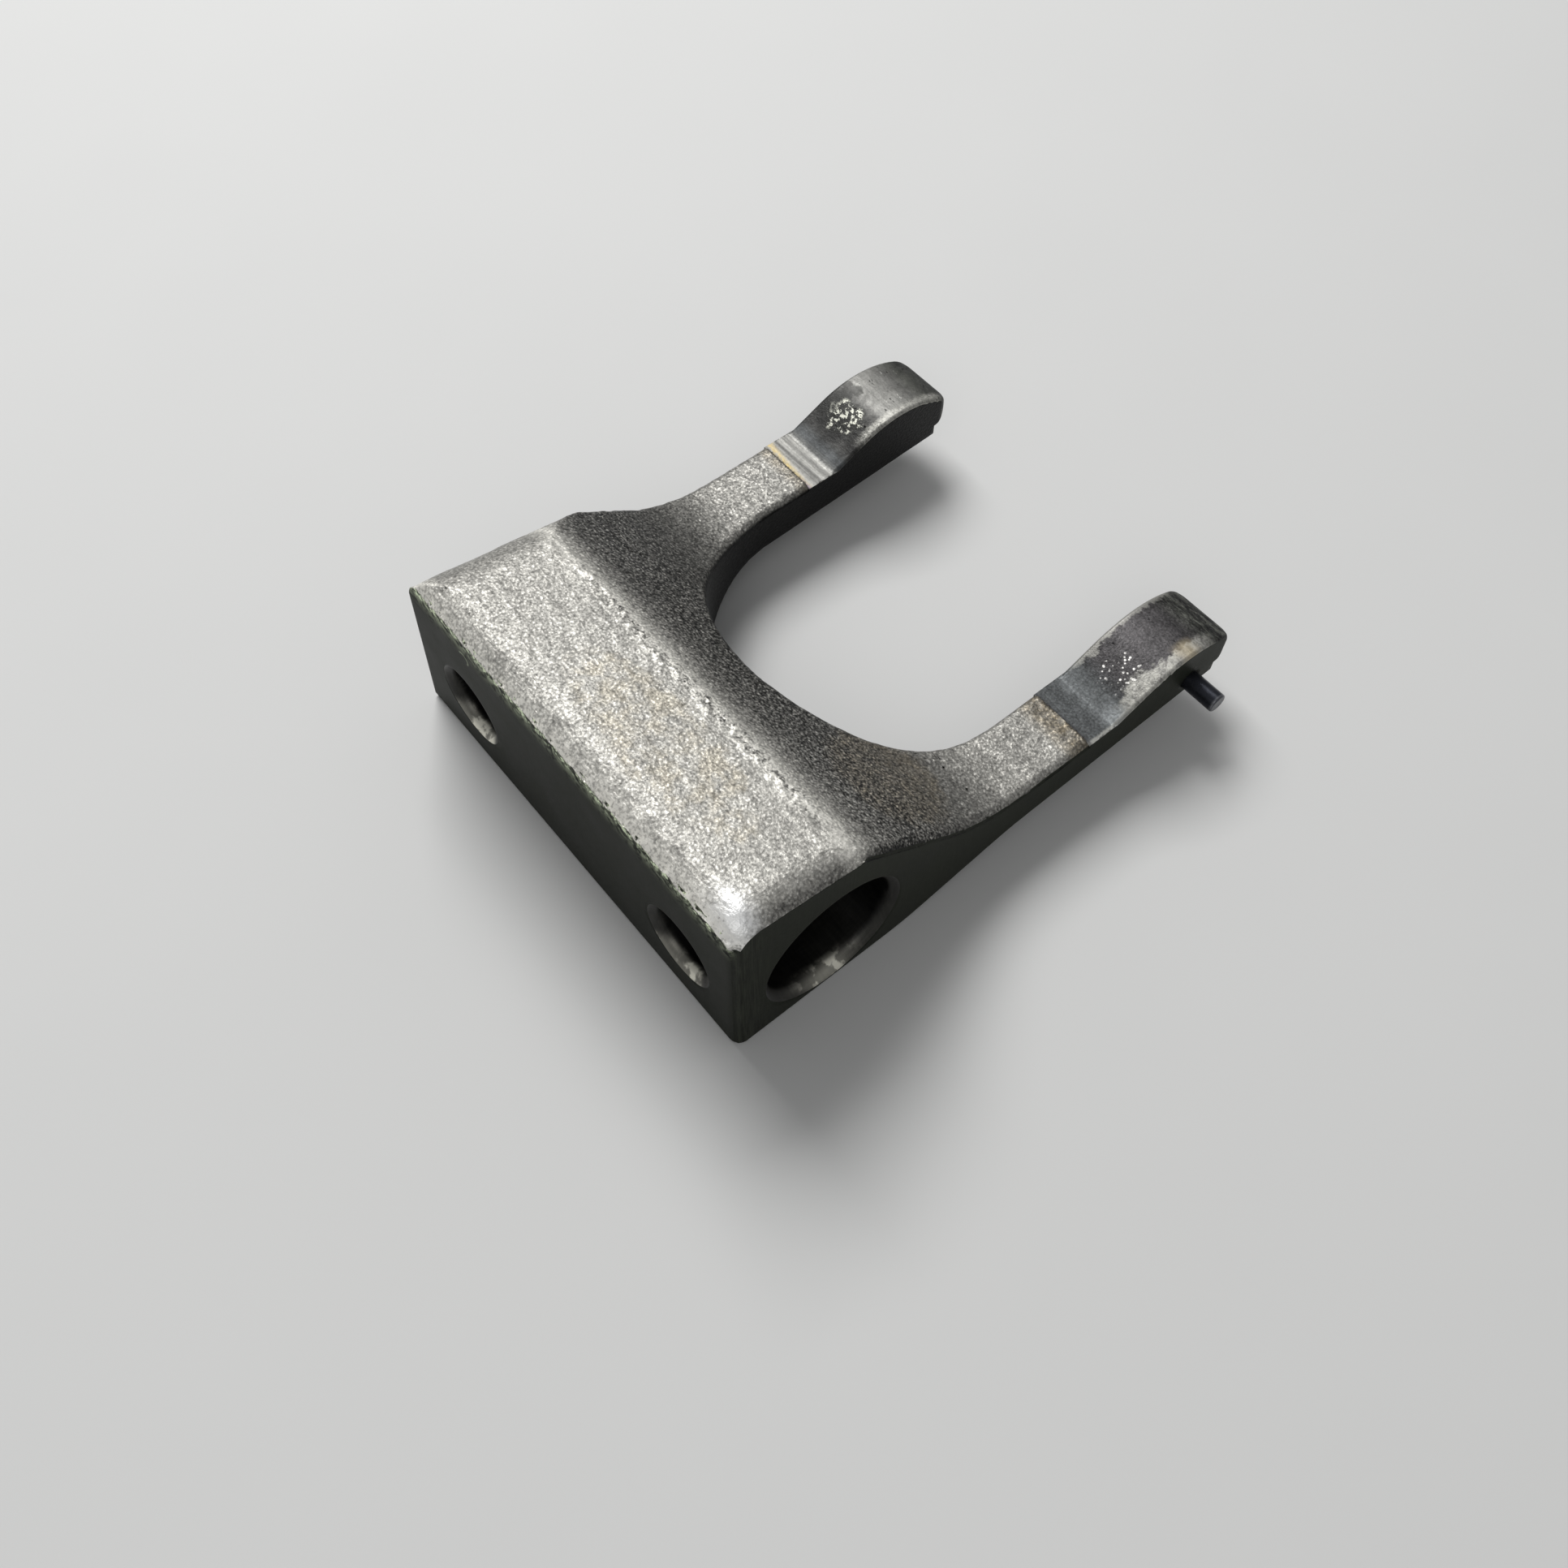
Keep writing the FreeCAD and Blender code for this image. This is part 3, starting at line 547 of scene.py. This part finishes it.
@dataclass(frozen=True)
class GroundSteel:
    """The ground bands and worn pads: blue-grey steel with straw lines, pits and bare edges."""

    band: Colour = (0.93, 0.985, 1.0)
    skin: Colour = (1.0, 0.985, 0.92)
    char: Colour = (0.98, 1.0, 0.86)
    plum: Colour = (1.0, 0.94, 0.96)
    straw: Colour = (0.52, 0.41, 0.19)
    violet: Colour = (0.20, 0.165, 0.19)
    cream: Colour = (0.56, 0.55, 0.50)
    honey: Colour = (0.50, 0.42, 0.28)
    bare: Colour = (0.95, 0.93, 0.89)
    flake: Colour = (0.60, 0.60, 0.52)
    left_tones: tuple[tuple[float, float], ...] = (
        (45.5, 0.46),
        (46.8, 0.58),
        (47.6, 0.40),
        (48.5, 0.60),
        (49.2, 0.44),
        (49.9, 0.60),
        (50.8, 0.38),
        (53.4, 0.25),
        (55.0, 0.19),
        (59.5, 0.24),
        (61.5, 0.48),
        (66.0, 0.52),
        (69.0, 0.40),
        (71.0, 0.22),
        (74.0, 0.18),
    )
    right_tones: tuple[tuple[float, float], ...] = (
        (45.5, 0.32),
        (48.8, 0.32),
        (50.6, 0.42),
        (52.6, 0.37),
        (53.8, 0.27),
        (58.0, 0.30),
        (63.0, 0.34),
        (68.0, 0.28),
        (71.0, 0.20),
        (74.0, 0.18),
    )

    def material(self, name: str) -> bpy.types.Material:
        """Build the material.

        Args:
            name: The material's name.

        Returns:
            The material.
        """
        g = Graph(name)
        fine = g.noise(0.34, 3.0, 0.6) - 0.5
        ragged = g.noise(0.95, 4.0, 0.6, offset=(5.0, 2.0, 7.0)) - 0.5
        cloud = g.noise(2.6, 4.0, 0.6, distortion=0.4) - 0.5
        strokes = g.noise(0.42, 2.0, 0.5, stretch=(26.0, 1.0, 1.0)) - 0.5
        left = g.x.step(1.0, -1.0)
        colour = self._left(g, fine, ragged, cloud, strokes)
        colour = g.mix(self._right(g, fine, ragged, cloud, strokes), colour, left)
        pitted = (g.y + ragged * 2.0).bell(57.0, 5.0)
        tip = g.y.step(68.0, 72.0)
        rough_skin = ragged * (0.5 + pitted * 1.5 + tip * 1.2)
        relief = fine * (0.5 + pitted * 1.6) + rough_skin + strokes * 0.4
        normal = g.raised(relief, 0.045)
        return g.surface(colour, 0.50 + ragged * 0.3 + tip * 0.05, 0.55, normal)

    def _left(
        self, g: Graph, fine: Value, ragged: Value, cloud: Value, strokes: Value
    ) -> bpy.types.NodeSocket:
        """Colour the left pad.

        Args:
            g: The material's graph.
            fine: Fine grain around 0.
            ragged: Blotches of a millimetre around 0.
            cloud: Wider blotches around 0.
            strokes: Grinding strokes across the prong, around 0.

        Returns:
            The colour.
        """
        ground = g.y.step(51.2, 49.8)
        tone = g.graded(g.y + ragged * (0.5 - ground * 0.3), self.left_tones)
        tone = tone + strokes * ground * 0.45 + fine * 0.20 + cloud * (0.34 - ground * 0.26)
        colour = g.toned(tone.clamp(), self.skin)
        blue = (g.y + ragged * 0.8).bell(51.9, 1.9)
        colour = g.mix(colour, g.toned(tone.clamp(), self.band), blue)
        tip = g.y.step(67.0, 71.0)
        colour = g.mix(colour, g.toned(tone.clamp(), self.char), tip)
        slant = g.y + g.x * 0.11 + ragged * 1.5
        straw_line = slant.bell(42.8, 0.85) * (0.62 + ragged * 2.6 + fine * 0.8)
        colour = g.mix(colour, self.straw, straw_line)
        violet_end = (g.y + ragged * 0.6).bell(45.6, 0.6) * g.x.step(-28.0, -26.0)
        colour = g.mix(colour, self.violet, violet_end)
        pits = g.patch((-30.2, 57.2), (4.2, 3.0), 2.6)
        colour = g.mix(colour, (0.014, 0.014, 0.012), pits * (0.50 - ragged * 3.2))
        flakes = (ragged * 1.2 + cloud * 0.7 + fine * 0.4).step(0.01, 0.11)
        flakes = flakes * g.patch((-30.0, 57.3), (3.2, 2.4), 2.6)
        colour = g.mix(colour, self.flake, flakes * 0.95)
        blots = g.patch((-32.9, 61.0), (1.9, 1.5), 3.4)
        blots = blots.most(g.patch((-33.6, 57.3), (1.6, 2.2), 3.4))
        colour = g.mix(colour, (0.02, 0.02, 0.018), blots * 0.7)
        rim = (g.x + ragged * 1.2).step(-26.2, -25.0) * g.y.step(54.5, 58.0) * g.y.step(73.6, 71.0)
        colour = g.mix(colour, self.cream, rim * (0.46 + fine * 1.6))
        return colour

    def _right(
        self, g: Graph, fine: Value, ragged: Value, cloud: Value, strokes: Value
    ) -> bpy.types.NodeSocket:
        """Colour the right pad.

        Args:
            g: The material's graph.
            fine: Fine grain around 0.
            ragged: Blotches of a millimetre around 0.
            cloud: Wider blotches around 0.
            strokes: Grinding strokes across the prong, around 0.

        Returns:
            The colour.
        """
        tone = g.graded(g.y + ragged * 0.6, self.right_tones)
        tip = g.y.step(66.0, 70.0)
        streaks = g.noise(0.85, 3.0, 0.6, stretch=(2.6, 1.0, 1.0), distortion=0.6) - 0.5
        tone = tone + fine * 0.45 + cloud * 0.22 + strokes * 0.05 + streaks * tip * 1.1
        tone = tone + g.y.bell(51.6, 2.2) * g.x.step(30.0, 34.5) * 0.16
        colour = g.toned(tone.clamp(), self.band)
        colour = g.mix(colour, g.toned(tone.clamp(), self.plum), g.y.step(52.5, 56.0))
        colour = g.mix(colour, g.toned(tone.clamp(), self.char), tip)
        spots = g.pits(0.60).step(0.36, 0.20) * cloud.step(-0.06, 0.06)
        specks = spots * g.patch((30.3, 55.4), (2.9, 3.2), 2.0)
        colour = g.mix(colour, self.bare, specks)
        reach = g.x + ragged * 2.6 + g.y.bell(56.6, 3.2) * 1.3
        worn = reach.step(32.5, 33.4) * g.y.step(51.5, 54.5) * g.y.step(70.5, 66.5)
        colour = g.mix(colour, self.cream, worn * (0.58 + ragged * 1.5 + fine * 0.9))
        warm = (g.y + ragged * 1.5).bell(64.6, 2.6) * g.x.step(31.6, 33.0)
        colour = g.mix(colour, self.honey, warm * 0.62)
        inner = g.x + ragged * 2.0 - g.y.bell(55.8, 1.6) * 0.7
        line = inner.step(25.2, 24.7) * g.y.step(51.0, 54.0) * g.y.step(72.5, 69.0)
        outer = (g.x + ragged * 0.4).step(34.2, 34.6) * g.y.step(55.0, 52.0)
        colour = g.mix(colour, self.cream, line.most(outer) * 0.42)
        crease = (g.y + ragged * 0.25).bell(45.8, 0.5)
        return g.mix(colour, (0.03, 0.03, 0.032), crease * 0.6)


@dataclass(frozen=True)
class BlackenedSteel:
    """The dowel pin: smooth blue-black steel, lighter in random mottles, with a painted highlight
    at its end's rim.
    """

    base: Colour = (0.042, 0.045, 0.056)
    # Tint of the painted highlight at the end's rim, also mixed in at random as lighter mottles.
    highlight_tint: Colour = (0.20, 0.205, 0.22)

    def material(self, name: str) -> bpy.types.Material:
        """Build the material.

        Args:
            name: The material's name.

        Returns:
            The material.
        """
        g = Graph(name)
        fine = g.noise(0.25, 3.0, 0.6, stretch=(3.0, 1.0, 1.0)) - 0.5
        cloud = g.noise(1.5, 3.0, 0.55) - 0.5
        # Painted highlight along the rounded rim of the free end.
        rim = g.x.bell(40.25, 0.32)
        share = rim * 0.8 + cloud * 0.5 + fine * 0.4
        colour = g.mix(self.base, self.highlight_tint, share.clamp())
        normal = g.raised(fine, 0.012)
        return g.surface(colour, 0.30 + cloud * 0.2, 0.85, normal)


def plane_waves(
    points: np.ndarray, low_mm: float, high_mm: float, count: int, seed: int
) -> np.ndarray:
    """A gently uneven field: the sum of plane waves of random direction, length and phase.

    Each wave adds sin(2 pi (d . p) / l + a), where d is a direction, l a length between the two
    limits and a a phase, and the sum is divided by the square root of the number of waves.

    Args:
        points: Points in millimetres, one row each.
        low_mm: The shortest wave.
        high_mm: The longest wave.
        count: How many waves.
        seed: Where the random draw starts.

    Returns:
        One number a point, around 0, mostly between -1 and 1.
    """
    draw = np.random.default_rng(seed)
    heading = draw.normal(size=(count, 3))
    heading /= np.linalg.norm(heading, axis=1)[:, None]
    length = draw.uniform(low_mm, high_mm, count)
    phase = draw.uniform(0.0, 2.0 * math.pi, count)
    waves = np.sin(2.0 * math.pi * points @ (heading / length[:, None]).T + phase)
    return waves.sum(axis=1) / math.sqrt(count)


@dataclass
class ForkYoke:
    """The forging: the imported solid's own surface, divided finely and left slightly uneven.

    Lengths are millimetres in the shared frame.
    """

    half_length: float = 35.0
    back_y: float = -15.7
    floor_z: float = -11.9
    crease_z: float = 18.2
    shoulder_y: float = 2.9
    band_start_y: float = 45.5
    tip_y: float = 74.3
    half_slot: float = 24.15
    slot_centre_y: float = 37.85
    bore_radius: float = 10.0
    bore_mouth_radius: float = 11.0
    bore_mouth_x: float = 33.9
    tap_x: float = 23.35
    tap_mouth_radius: float = 6.35
    tip_corner_radius: float = 2.2
    near_corner_radius: float = 1.7
    longest_edge: float = 1.3
    longest_top_edge: float = 0.62
    merge_distance: float = 0.002
    halvings: int = 10
    flat_angle: float = 0.002
    sharp_degrees: float = 32.0
    unevenness: float = 0.06
    scale_height: float = 0.13
    crease_wander: float = 0.55
    finishes: dict[Finish, Any] = field(
        default_factory=lambda: {
            Finish.FORGED: ForgedSteel(),
            Finish.FACED: FacedSteel(),
            Finish.BORED: BoredSteel(),
            Finish.GROUND: GroundSteel(),
        }
    )

    def build(self, node: bpy.types.Object) -> bpy.types.Object:
        """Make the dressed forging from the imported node.

        Args:
            node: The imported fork's object.

        Returns:
            The new piece, which stands for the node.
        """
        mesh = self._divided(node)
        self._shape(mesh)
        self._sort_faces(mesh)
        mesh.shade_smooth()
        mesh.set_sharp_from_angle(angle=math.radians(self.sharp_degrees))
        piece = bpy.data.objects.new("forged_fork", mesh)
        bpy.context.scene.collection.objects.link(piece)
        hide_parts("fork_yoke")
        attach(piece, "root")
        log.info("forged_fork: %d triangles", len(mesh.polygons))
        return piece

    def _divided(self, node: bpy.types.Object) -> bpy.types.Mesh:
        """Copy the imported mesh, merge its loose triangles and halve its long edges."""
        mesh = node.data.copy()
        mesh.name = "forged_fork"
        work = bmesh.new()
        work.from_mesh(mesh)
        bmesh.ops.remove_doubles(work, verts=work.verts, dist=self.merge_distance * MM)
        for _ in range(self.halvings):
            long_edges = [edge for edge in work.edges if self._too_long(edge)]
            if not long_edges:
                break
            bmesh.ops.subdivide_edges(work, edges=long_edges, cuts=1)
            bmesh.ops.triangulate(work, faces=[f for f in work.faces if len(f.verts) > 3])
        flat = [
            edge
            for edge in work.edges
            if len(edge.link_faces) == 2 and edge.calc_face_angle(1.0) < self.flat_angle
        ]
        bmesh.ops.beautify_fill(work, faces=work.faces[:], edges=flat)
        work.to_mesh(mesh)
        work.free()
        mesh.materials.clear()
        return mesh

    def _too_long(self, edge: bmesh.types.BMEdge) -> bool:
        """Whether an edge is to be halved: upper surfaces and the near upright edge are finer."""
        middle = (edge.verts[0].co + edge.verts[1].co) / (2.0 * MM)
        near_edge = middle.x > self.half_length - 2.4 and middle.y < self.back_y + 2.4
        fine = near_edge or middle.z > -0.5
        limit = self.longest_top_edge if fine else self.longest_edge
        return edge.calc_length() > limit * MM

    def _shape(self, mesh: bpy.types.Mesh) -> None:
        """Give the surface its uneven skin, raised scale, ragged crease and rounded corners."""
        flat = np.empty(len(mesh.vertices) * 3)
        mesh.vertices.foreach_get("co", flat)
        points = flat.reshape(-1, 3) / MM
        mesh.vertices.foreach_get("normal", flat)
        normals = flat.reshape(-1, 3)
        upward = mesh.attributes.new("upward", "FLOAT", "POINT")
        upward.data.foreach_set("value", normals[:, 2].astype(np.float32).copy())
        rise = self._scale_rise(points) - self._sink(points)
        moved = points + normals * (rise * self._skin_share(points, normals))[:, None]
        moved[:, 2] -= self._crease_drop(points)
        moved = self._rounded(moved)
        mesh.vertices.foreach_set("co", (moved * MM).ravel())
        mesh.update()

    def _sink(self, points: np.ndarray) -> np.ndarray:
        """How far the forged skin is sunk: long and short waves added up, never raised."""
        long_waves = plane_waves(points, 3.0, 11.0, 40, 7)
        short_waves = plane_waves(points, 1.3, 2.6, 60, 8)
        return self.unevenness * (0.9 + 0.7 * long_waves + 0.45 * short_waves).clip(0.0, 3.0)

    def _scale_rise(self, points: np.ndarray) -> np.ndarray:
        """How far the scaly streak along the shoulder stands up.

        A bell across the shoulder, whose middle wanders with x, times flakes cut from short waves.
        """
        x, y, z = points.T
        wander = 0.7 * plane_waves(points * (1.0, 0.0, 0.0), 5.0, 16.0, 12, 21)
        across = np.exp(-(((y - self.shoulder_y - wander) / 1.0) ** 2))
        ends = np.clip((x + 26.0) / 8.0, 0.0, 1.0) * np.clip((31.0 - x) / 8.0, 0.0, 1.0)
        flakes = np.clip(0.4 + plane_waves(points, 1.2, 2.4, 60, 22), 0.0, 1.6)
        return np.where(z > 12.0, self.scale_height * across * ends * flakes, 0.0)

    def _crease_drop(self, points: np.ndarray) -> np.ndarray:
        """How far the crease above the back face wanders down, fading out 1.5 mm to each side."""
        _, y, z = points.T
        near = np.exp(-(((z - self.crease_z) / 0.7) ** 2)) * (y < self.back_y + 0.9)
        ragged = plane_waves(points * (1.0, 0.0, 0.0), 1.2, 3.4, 40, 31)
        return self.crease_wander * near * np.clip(0.6 + 0.6 * ragged, 0.0, 1.6)

    def _rounded(self, points: np.ndarray) -> np.ndarray:
        """Round the prongs' corners and the hub's near upright edge, all seen from above."""
        x, y = points[:, 0], points[:, 1]
        middle = (self.half_length + self.half_slot) / 2.0
        half = (self.half_length - self.half_slot) / 2.0
        moved = points.copy()
        offset, moved_y = self._cut_corner(
            np.abs(x) - middle, y, half, self.tip_y, self.tip_corner_radius
        )
        moved[:, 0], moved[:, 1] = np.sign(x) * (middle + offset), moved_y
        near_x, back_y = self._cut_corner(
            moved[:, 0], -moved[:, 1], self.half_length, -self.back_y, self.near_corner_radius
        )
        right = moved[:, 0] > 0.0
        moved[right, 0], moved[right, 1] = near_x[right], -back_y[right]
        return moved

    @staticmethod
    def _cut_corner(
        across: np.ndarray, ahead: np.ndarray, half: float, end: float, radius: float
    ) -> tuple[np.ndarray, np.ndarray]:
        """Round the corners of a strip's end.

        In the last square of a corner, a and b are the ways in from its two inner sides, as shares
        of its side. They become a sqrt(1 - b b / 2) and b sqrt(1 - a a / 2), which keeps the inner
        sides where they are and bends the outer two smoothly into a quarter circle.

        Args:
            across: Each point's place across the strip, from its middle.
            ahead: Each point's place along the strip.
            half: Half the strip's width.
            end: The place of its end.
            radius: The corner's radius.

        Returns:
            The new places across and along.
        """
        a = np.clip((np.abs(across) - (half - radius)) / radius, 0.0, 1.0)
        b = np.clip((ahead - (end - radius)) / radius, 0.0, 1.0)
        inward = radius * a * (1.0 - np.sqrt(1.0 - b**2 / 2.0))
        backward = radius * b * (1.0 - np.sqrt(1.0 - a**2 / 2.0))
        return np.sign(across) * (np.abs(across) - inward), ahead - backward

    def _skin_share(self, points: np.ndarray, normals: np.ndarray) -> np.ndarray:
        """How much of a point is forged skin: 0 on the machined faces and 1 on the rest."""
        x, y, z = points.T
        side = (x > self.half_length - ON_SURFACE) & (normals[:, 0] > 0.4)
        back = (y < self.back_y + ON_SURFACE) & (normals[:, 1] < -0.4)
        reach = np.hypot(y, z)
        bore = reach < self.bore_radius + ON_SURFACE
        bore |= (x > self.bore_mouth_x) & (reach < self.bore_mouth_radius + ON_SURFACE)
        tap_reach = np.hypot(np.abs(x) - self.tap_x, z)
        tap = (tap_reach < self.tap_mouth_radius + ON_SURFACE) & (y < 0.0)
        floor = z < self.floor_z + ON_SURFACE
        wall = np.abs(np.hypot(x, np.minimum(y - self.slot_centre_y, 0.0)) - self.half_slot) < 0.02
        on_prong = y > self.band_start_y - ON_SURFACE
        below_pads = np.where(on_prong, np.clip((-4.0 - z) / 4.0, 0.0, 1.0), 1.0)
        return np.where(side | back | bore | tap | floor | wall, 0.0, below_pads)

    def _sort_faces(self, mesh: bpy.types.Mesh) -> None:
        """Give each face the finish of the part of the forging that it belongs to."""
        count = len(mesh.polygons)
        centres = np.empty(count * 3)
        normals = np.empty(count * 3)
        mesh.polygons.foreach_get("center", centres)
        mesh.polygons.foreach_get("normal", normals)
        x, y, z = (centres.reshape(-1, 3) / MM).T
        nx, ny, nz = normals.reshape(-1, 3).T
        kinds = np.full(count, Finish.FORGED.value)
        kinds[(nx > 0.85) & (x > self.half_length - 0.4)] = Finish.FACED.value
        kinds[(ny < -0.85) & (y < self.back_y + 0.4)] = Finish.FACED.value
        near_edge = (x > self.half_length - 2.0) & (y < self.back_y + 2.0) & (nz < 0.2)
        kinds[near_edge] = Finish.FACED.value
        kinds[(y > self.band_start_y) & (nz > 0.25)] = Finish.GROUND.value
        kinds[(y > 72.0) & (ny > 0.3) & (z > -4.0)] = Finish.GROUND.value
        reach = np.hypot(y, z)
        bore = (reach < self.bore_radius + 0.02) & (np.abs(x) < self.half_length + 1.5)
        bore |= (x > self.bore_mouth_x) & (reach < self.bore_mouth_radius) & (nx < 0.95)
        tap = (np.hypot(np.abs(x) - self.tap_x, z) < self.tap_mouth_radius - 0.02) & (y < 0.0)
        kinds[bore | (tap & (ny > -0.99))] = Finish.BORED.value
        for finish, look in self.finishes.items():
            mesh.materials.append(look.material("fork_" + finish.name.lower()))
        mesh.polygons.foreach_set("material_index", kinds)


@dataclass
class DowelPin:
    """The dowel pin in the right prong: a turned shank with a rounded edge at its free end."""

    radius: float = 1.5
    inner_x: float = 27.5
    free_x: float = 40.5
    centre_y: float = 66.1
    centre_z: float = -2.6
    chamfer: float = 0.3
    around: int = 96
    finish: BlackenedSteel = field(default_factory=BlackenedSteel)

    def build(self) -> bpy.types.Object:
        """Make the pin.

        Returns:
            The new piece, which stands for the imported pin.
        """
        mesh = self._turned(self._profile())
        mesh.materials.append(self.finish.material("pin_blackened"))
        mesh.shade_smooth()
        mesh.set_sharp_from_angle(angle=math.radians(30.0))
        piece = bpy.data.objects.new("dowel_pin", mesh)
        bpy.context.scene.collection.objects.link(piece)
        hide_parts("retainer_pin")
        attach(piece, "root")
        log.info("dowel_pin: %d faces", len(mesh.polygons))
        return piece

    def _profile(self) -> np.ndarray:
        """The pin's outline as rows of (x, radius), from the buried end to the free end."""
        turn = np.linspace(0.0, math.pi / 2.0, 7)
        corner_x = self.free_x - self.chamfer + self.chamfer * np.sin(turn)
        corner_r = self.radius - self.chamfer + self.chamfer * np.cos(turn)
        shank_x = np.linspace(self.inner_x, self.free_x - self.chamfer, 20)[:-1]
        shank = np.column_stack([shank_x, np.full(shank_x.size, self.radius)])
        start = np.array([[self.inner_x, 0.002], [self.inner_x, self.radius]])
        end = np.array([[self.free_x - 0.03, self.radius * 0.45], [self.free_x - 0.05, 0.002]])
        return np.vstack([start, shank[1:], np.column_stack([corner_x, corner_r]), end])

    def _turned(self, outline: np.ndarray) -> bpy.types.Mesh:
        """Turn the outline round the pin's axis: y = r cos t and z = r sin t about its centre."""
        turn = np.linspace(0.0, 2.0 * math.pi, self.around, endpoint=False)
        rows = len(outline)
        points = np.empty((rows, self.around, 3))
        points[..., 0] = outline[:, :1]
        points[..., 1] = self.centre_y + outline[:, 1:] * np.cos(turn)
        points[..., 2] = self.centre_z + outline[:, 1:] * np.sin(turn)
        here = np.arange(rows * self.around).reshape(rows, self.around)
        after = np.roll(here, -1, axis=1)
        quads = np.stack([here[:-1], after[:-1], after[1:], here[1:]], axis=-1).reshape(-1, 4)
        caps = [here[0][::-1].tolist(), here[-1].tolist()]
        mesh = bpy.data.meshes.new("dowel_pin")
        mesh.from_pydata((points.reshape(-1, 3) * MM).tolist(), [], quads.tolist() + caps)
        mesh.update()
        return mesh


@dataclass
class Studio:
    """The pale floor, the soft lights and the camera."""

    floor_z: float = -11.9
    floor_half: float = 2500.0
    floor_colour: Colour = (0.68, 0.68, 0.67)
    world_colour: Colour = (0.80, 0.81, 0.82)
    world_strength: float = 0.30
    camera_place: tuple[float, float, float] = (91.944, -57.319, 171.617)
    camera_heading: float = -49.545
    camera_dip: float = 58.991
    camera_roll: float = -1.188
    camera_lens: float = 34.546

    def build(self) -> None:
        """Set up the floor, the world, the lamps and the camera."""
        self._floor()
        self._world()
        self._lamp("key", (-560.0, 190.0, 780.0), (0.0, 25.0, 0.0), 480.0, 8.0)
        self._lamp("fill", (350.0, -420.0, 520.0), (0.0, 20.0, 0.0), 420.0, 0.6)
        self._camera()

    def _floor(self) -> None:
        """Lay the floor under the fork."""
        half, z = self.floor_half * MM, (self.floor_z - 0.02) * MM
        mesh = bpy.data.meshes.new("floor")
        corners = [(-half, -half, z), (half, -half, z), (half, half, z), (-half, half, z)]
        mesh.from_pydata(corners, [], [(0, 1, 2, 3)])
        g = Graph("floor_paper")
        mottle = g.noise(40.0, 2.0, 0.5)
        lighter = tuple(min(1.0, c * 1.03) for c in self.floor_colour)
        mesh.materials.append(g.surface(g.mix(self.floor_colour, lighter, mottle), 0.85, 0.0))
        floor = bpy.data.objects.new("floor", mesh)
        bpy.context.scene.collection.objects.link(floor)

    def _world(self) -> None:
        """Fill the room with even light."""
        world = bpy.data.worlds.new("studio")
        world.use_nodes = True
        background = world.node_tree.nodes["Background"]
        background.inputs["Color"].default_value = (*self.world_colour, 1.0)
        background.inputs["Strength"].default_value = self.world_strength
        bpy.context.scene.world = world

    def _lamp(
        self,
        name: str,
        place: tuple[float, float, float],
        aim: tuple[float, float, float],
        size: float,
        power: float,
    ) -> None:
        """Hang one square lamp.

        Args:
            name: The lamp's name.
            place: Where it hangs, in millimetres.
            aim: The point that it faces, in millimetres.
            size: The length of its side, in millimetres.
            power: Its power in watts.
        """
        lamp = bpy.data.lights.new(name, "AREA")
        lamp.shape = "SQUARE"
        lamp.size = size * MM
        lamp.energy = power
        holder = bpy.data.objects.new(name, lamp)
        holder.location = Vector(place) * MM
        heading = (Vector(aim) - Vector(place)).to_track_quat("-Z", "Y")
        holder.rotation_euler = heading.to_euler()
        bpy.context.scene.collection.objects.link(holder)

    def _camera(self) -> None:
        """Place the camera by its heading from +Y, its dip below the horizon and its roll."""
        heading = math.radians(self.camera_heading)
        dip = math.radians(self.camera_dip)
        roll = math.radians(self.camera_roll)
        ahead = Vector(
            (math.sin(heading) * math.cos(dip), math.cos(heading) * math.cos(dip), -math.sin(dip))
        )
        right = Vector((math.cos(heading), -math.sin(heading), 0.0))
        down = ahead.cross(right)
        rolled_right = math.cos(roll) * right + math.sin(roll) * down
        rolled_down = -math.sin(roll) * right + math.cos(roll) * down
        turned = Matrix((rolled_right, -rolled_down, -ahead)).transposed().to_4x4()
        turned.translation = Vector(self.camera_place) * MM
        lens = bpy.data.cameras.new("camera")
        lens.lens = self.camera_lens
        lens.sensor_width = 36.0
        lens.clip_start = 0.01
        lens.clip_end = 20.0
        camera = bpy.data.objects.new("camera", lens)
        camera.matrix_world = turned
        bpy.context.scene.collection.objects.link(camera)
        bpy.context.scene.camera = camera


def main() -> None:
    """Build the dressed fork and its studio."""
    logging.basicConfig(level=logging.INFO, format="%(name)s: %(message)s")
    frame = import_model()
    bpy.context.scene.view_settings.view_transform = "Standard"
    ForkYoke().build(frame["nodes"]["fork_yoke"])
    DowelPin().build()
    Studio().build()
    bpy.context.view_layer.update()


if __name__ == "__main__":
    main()
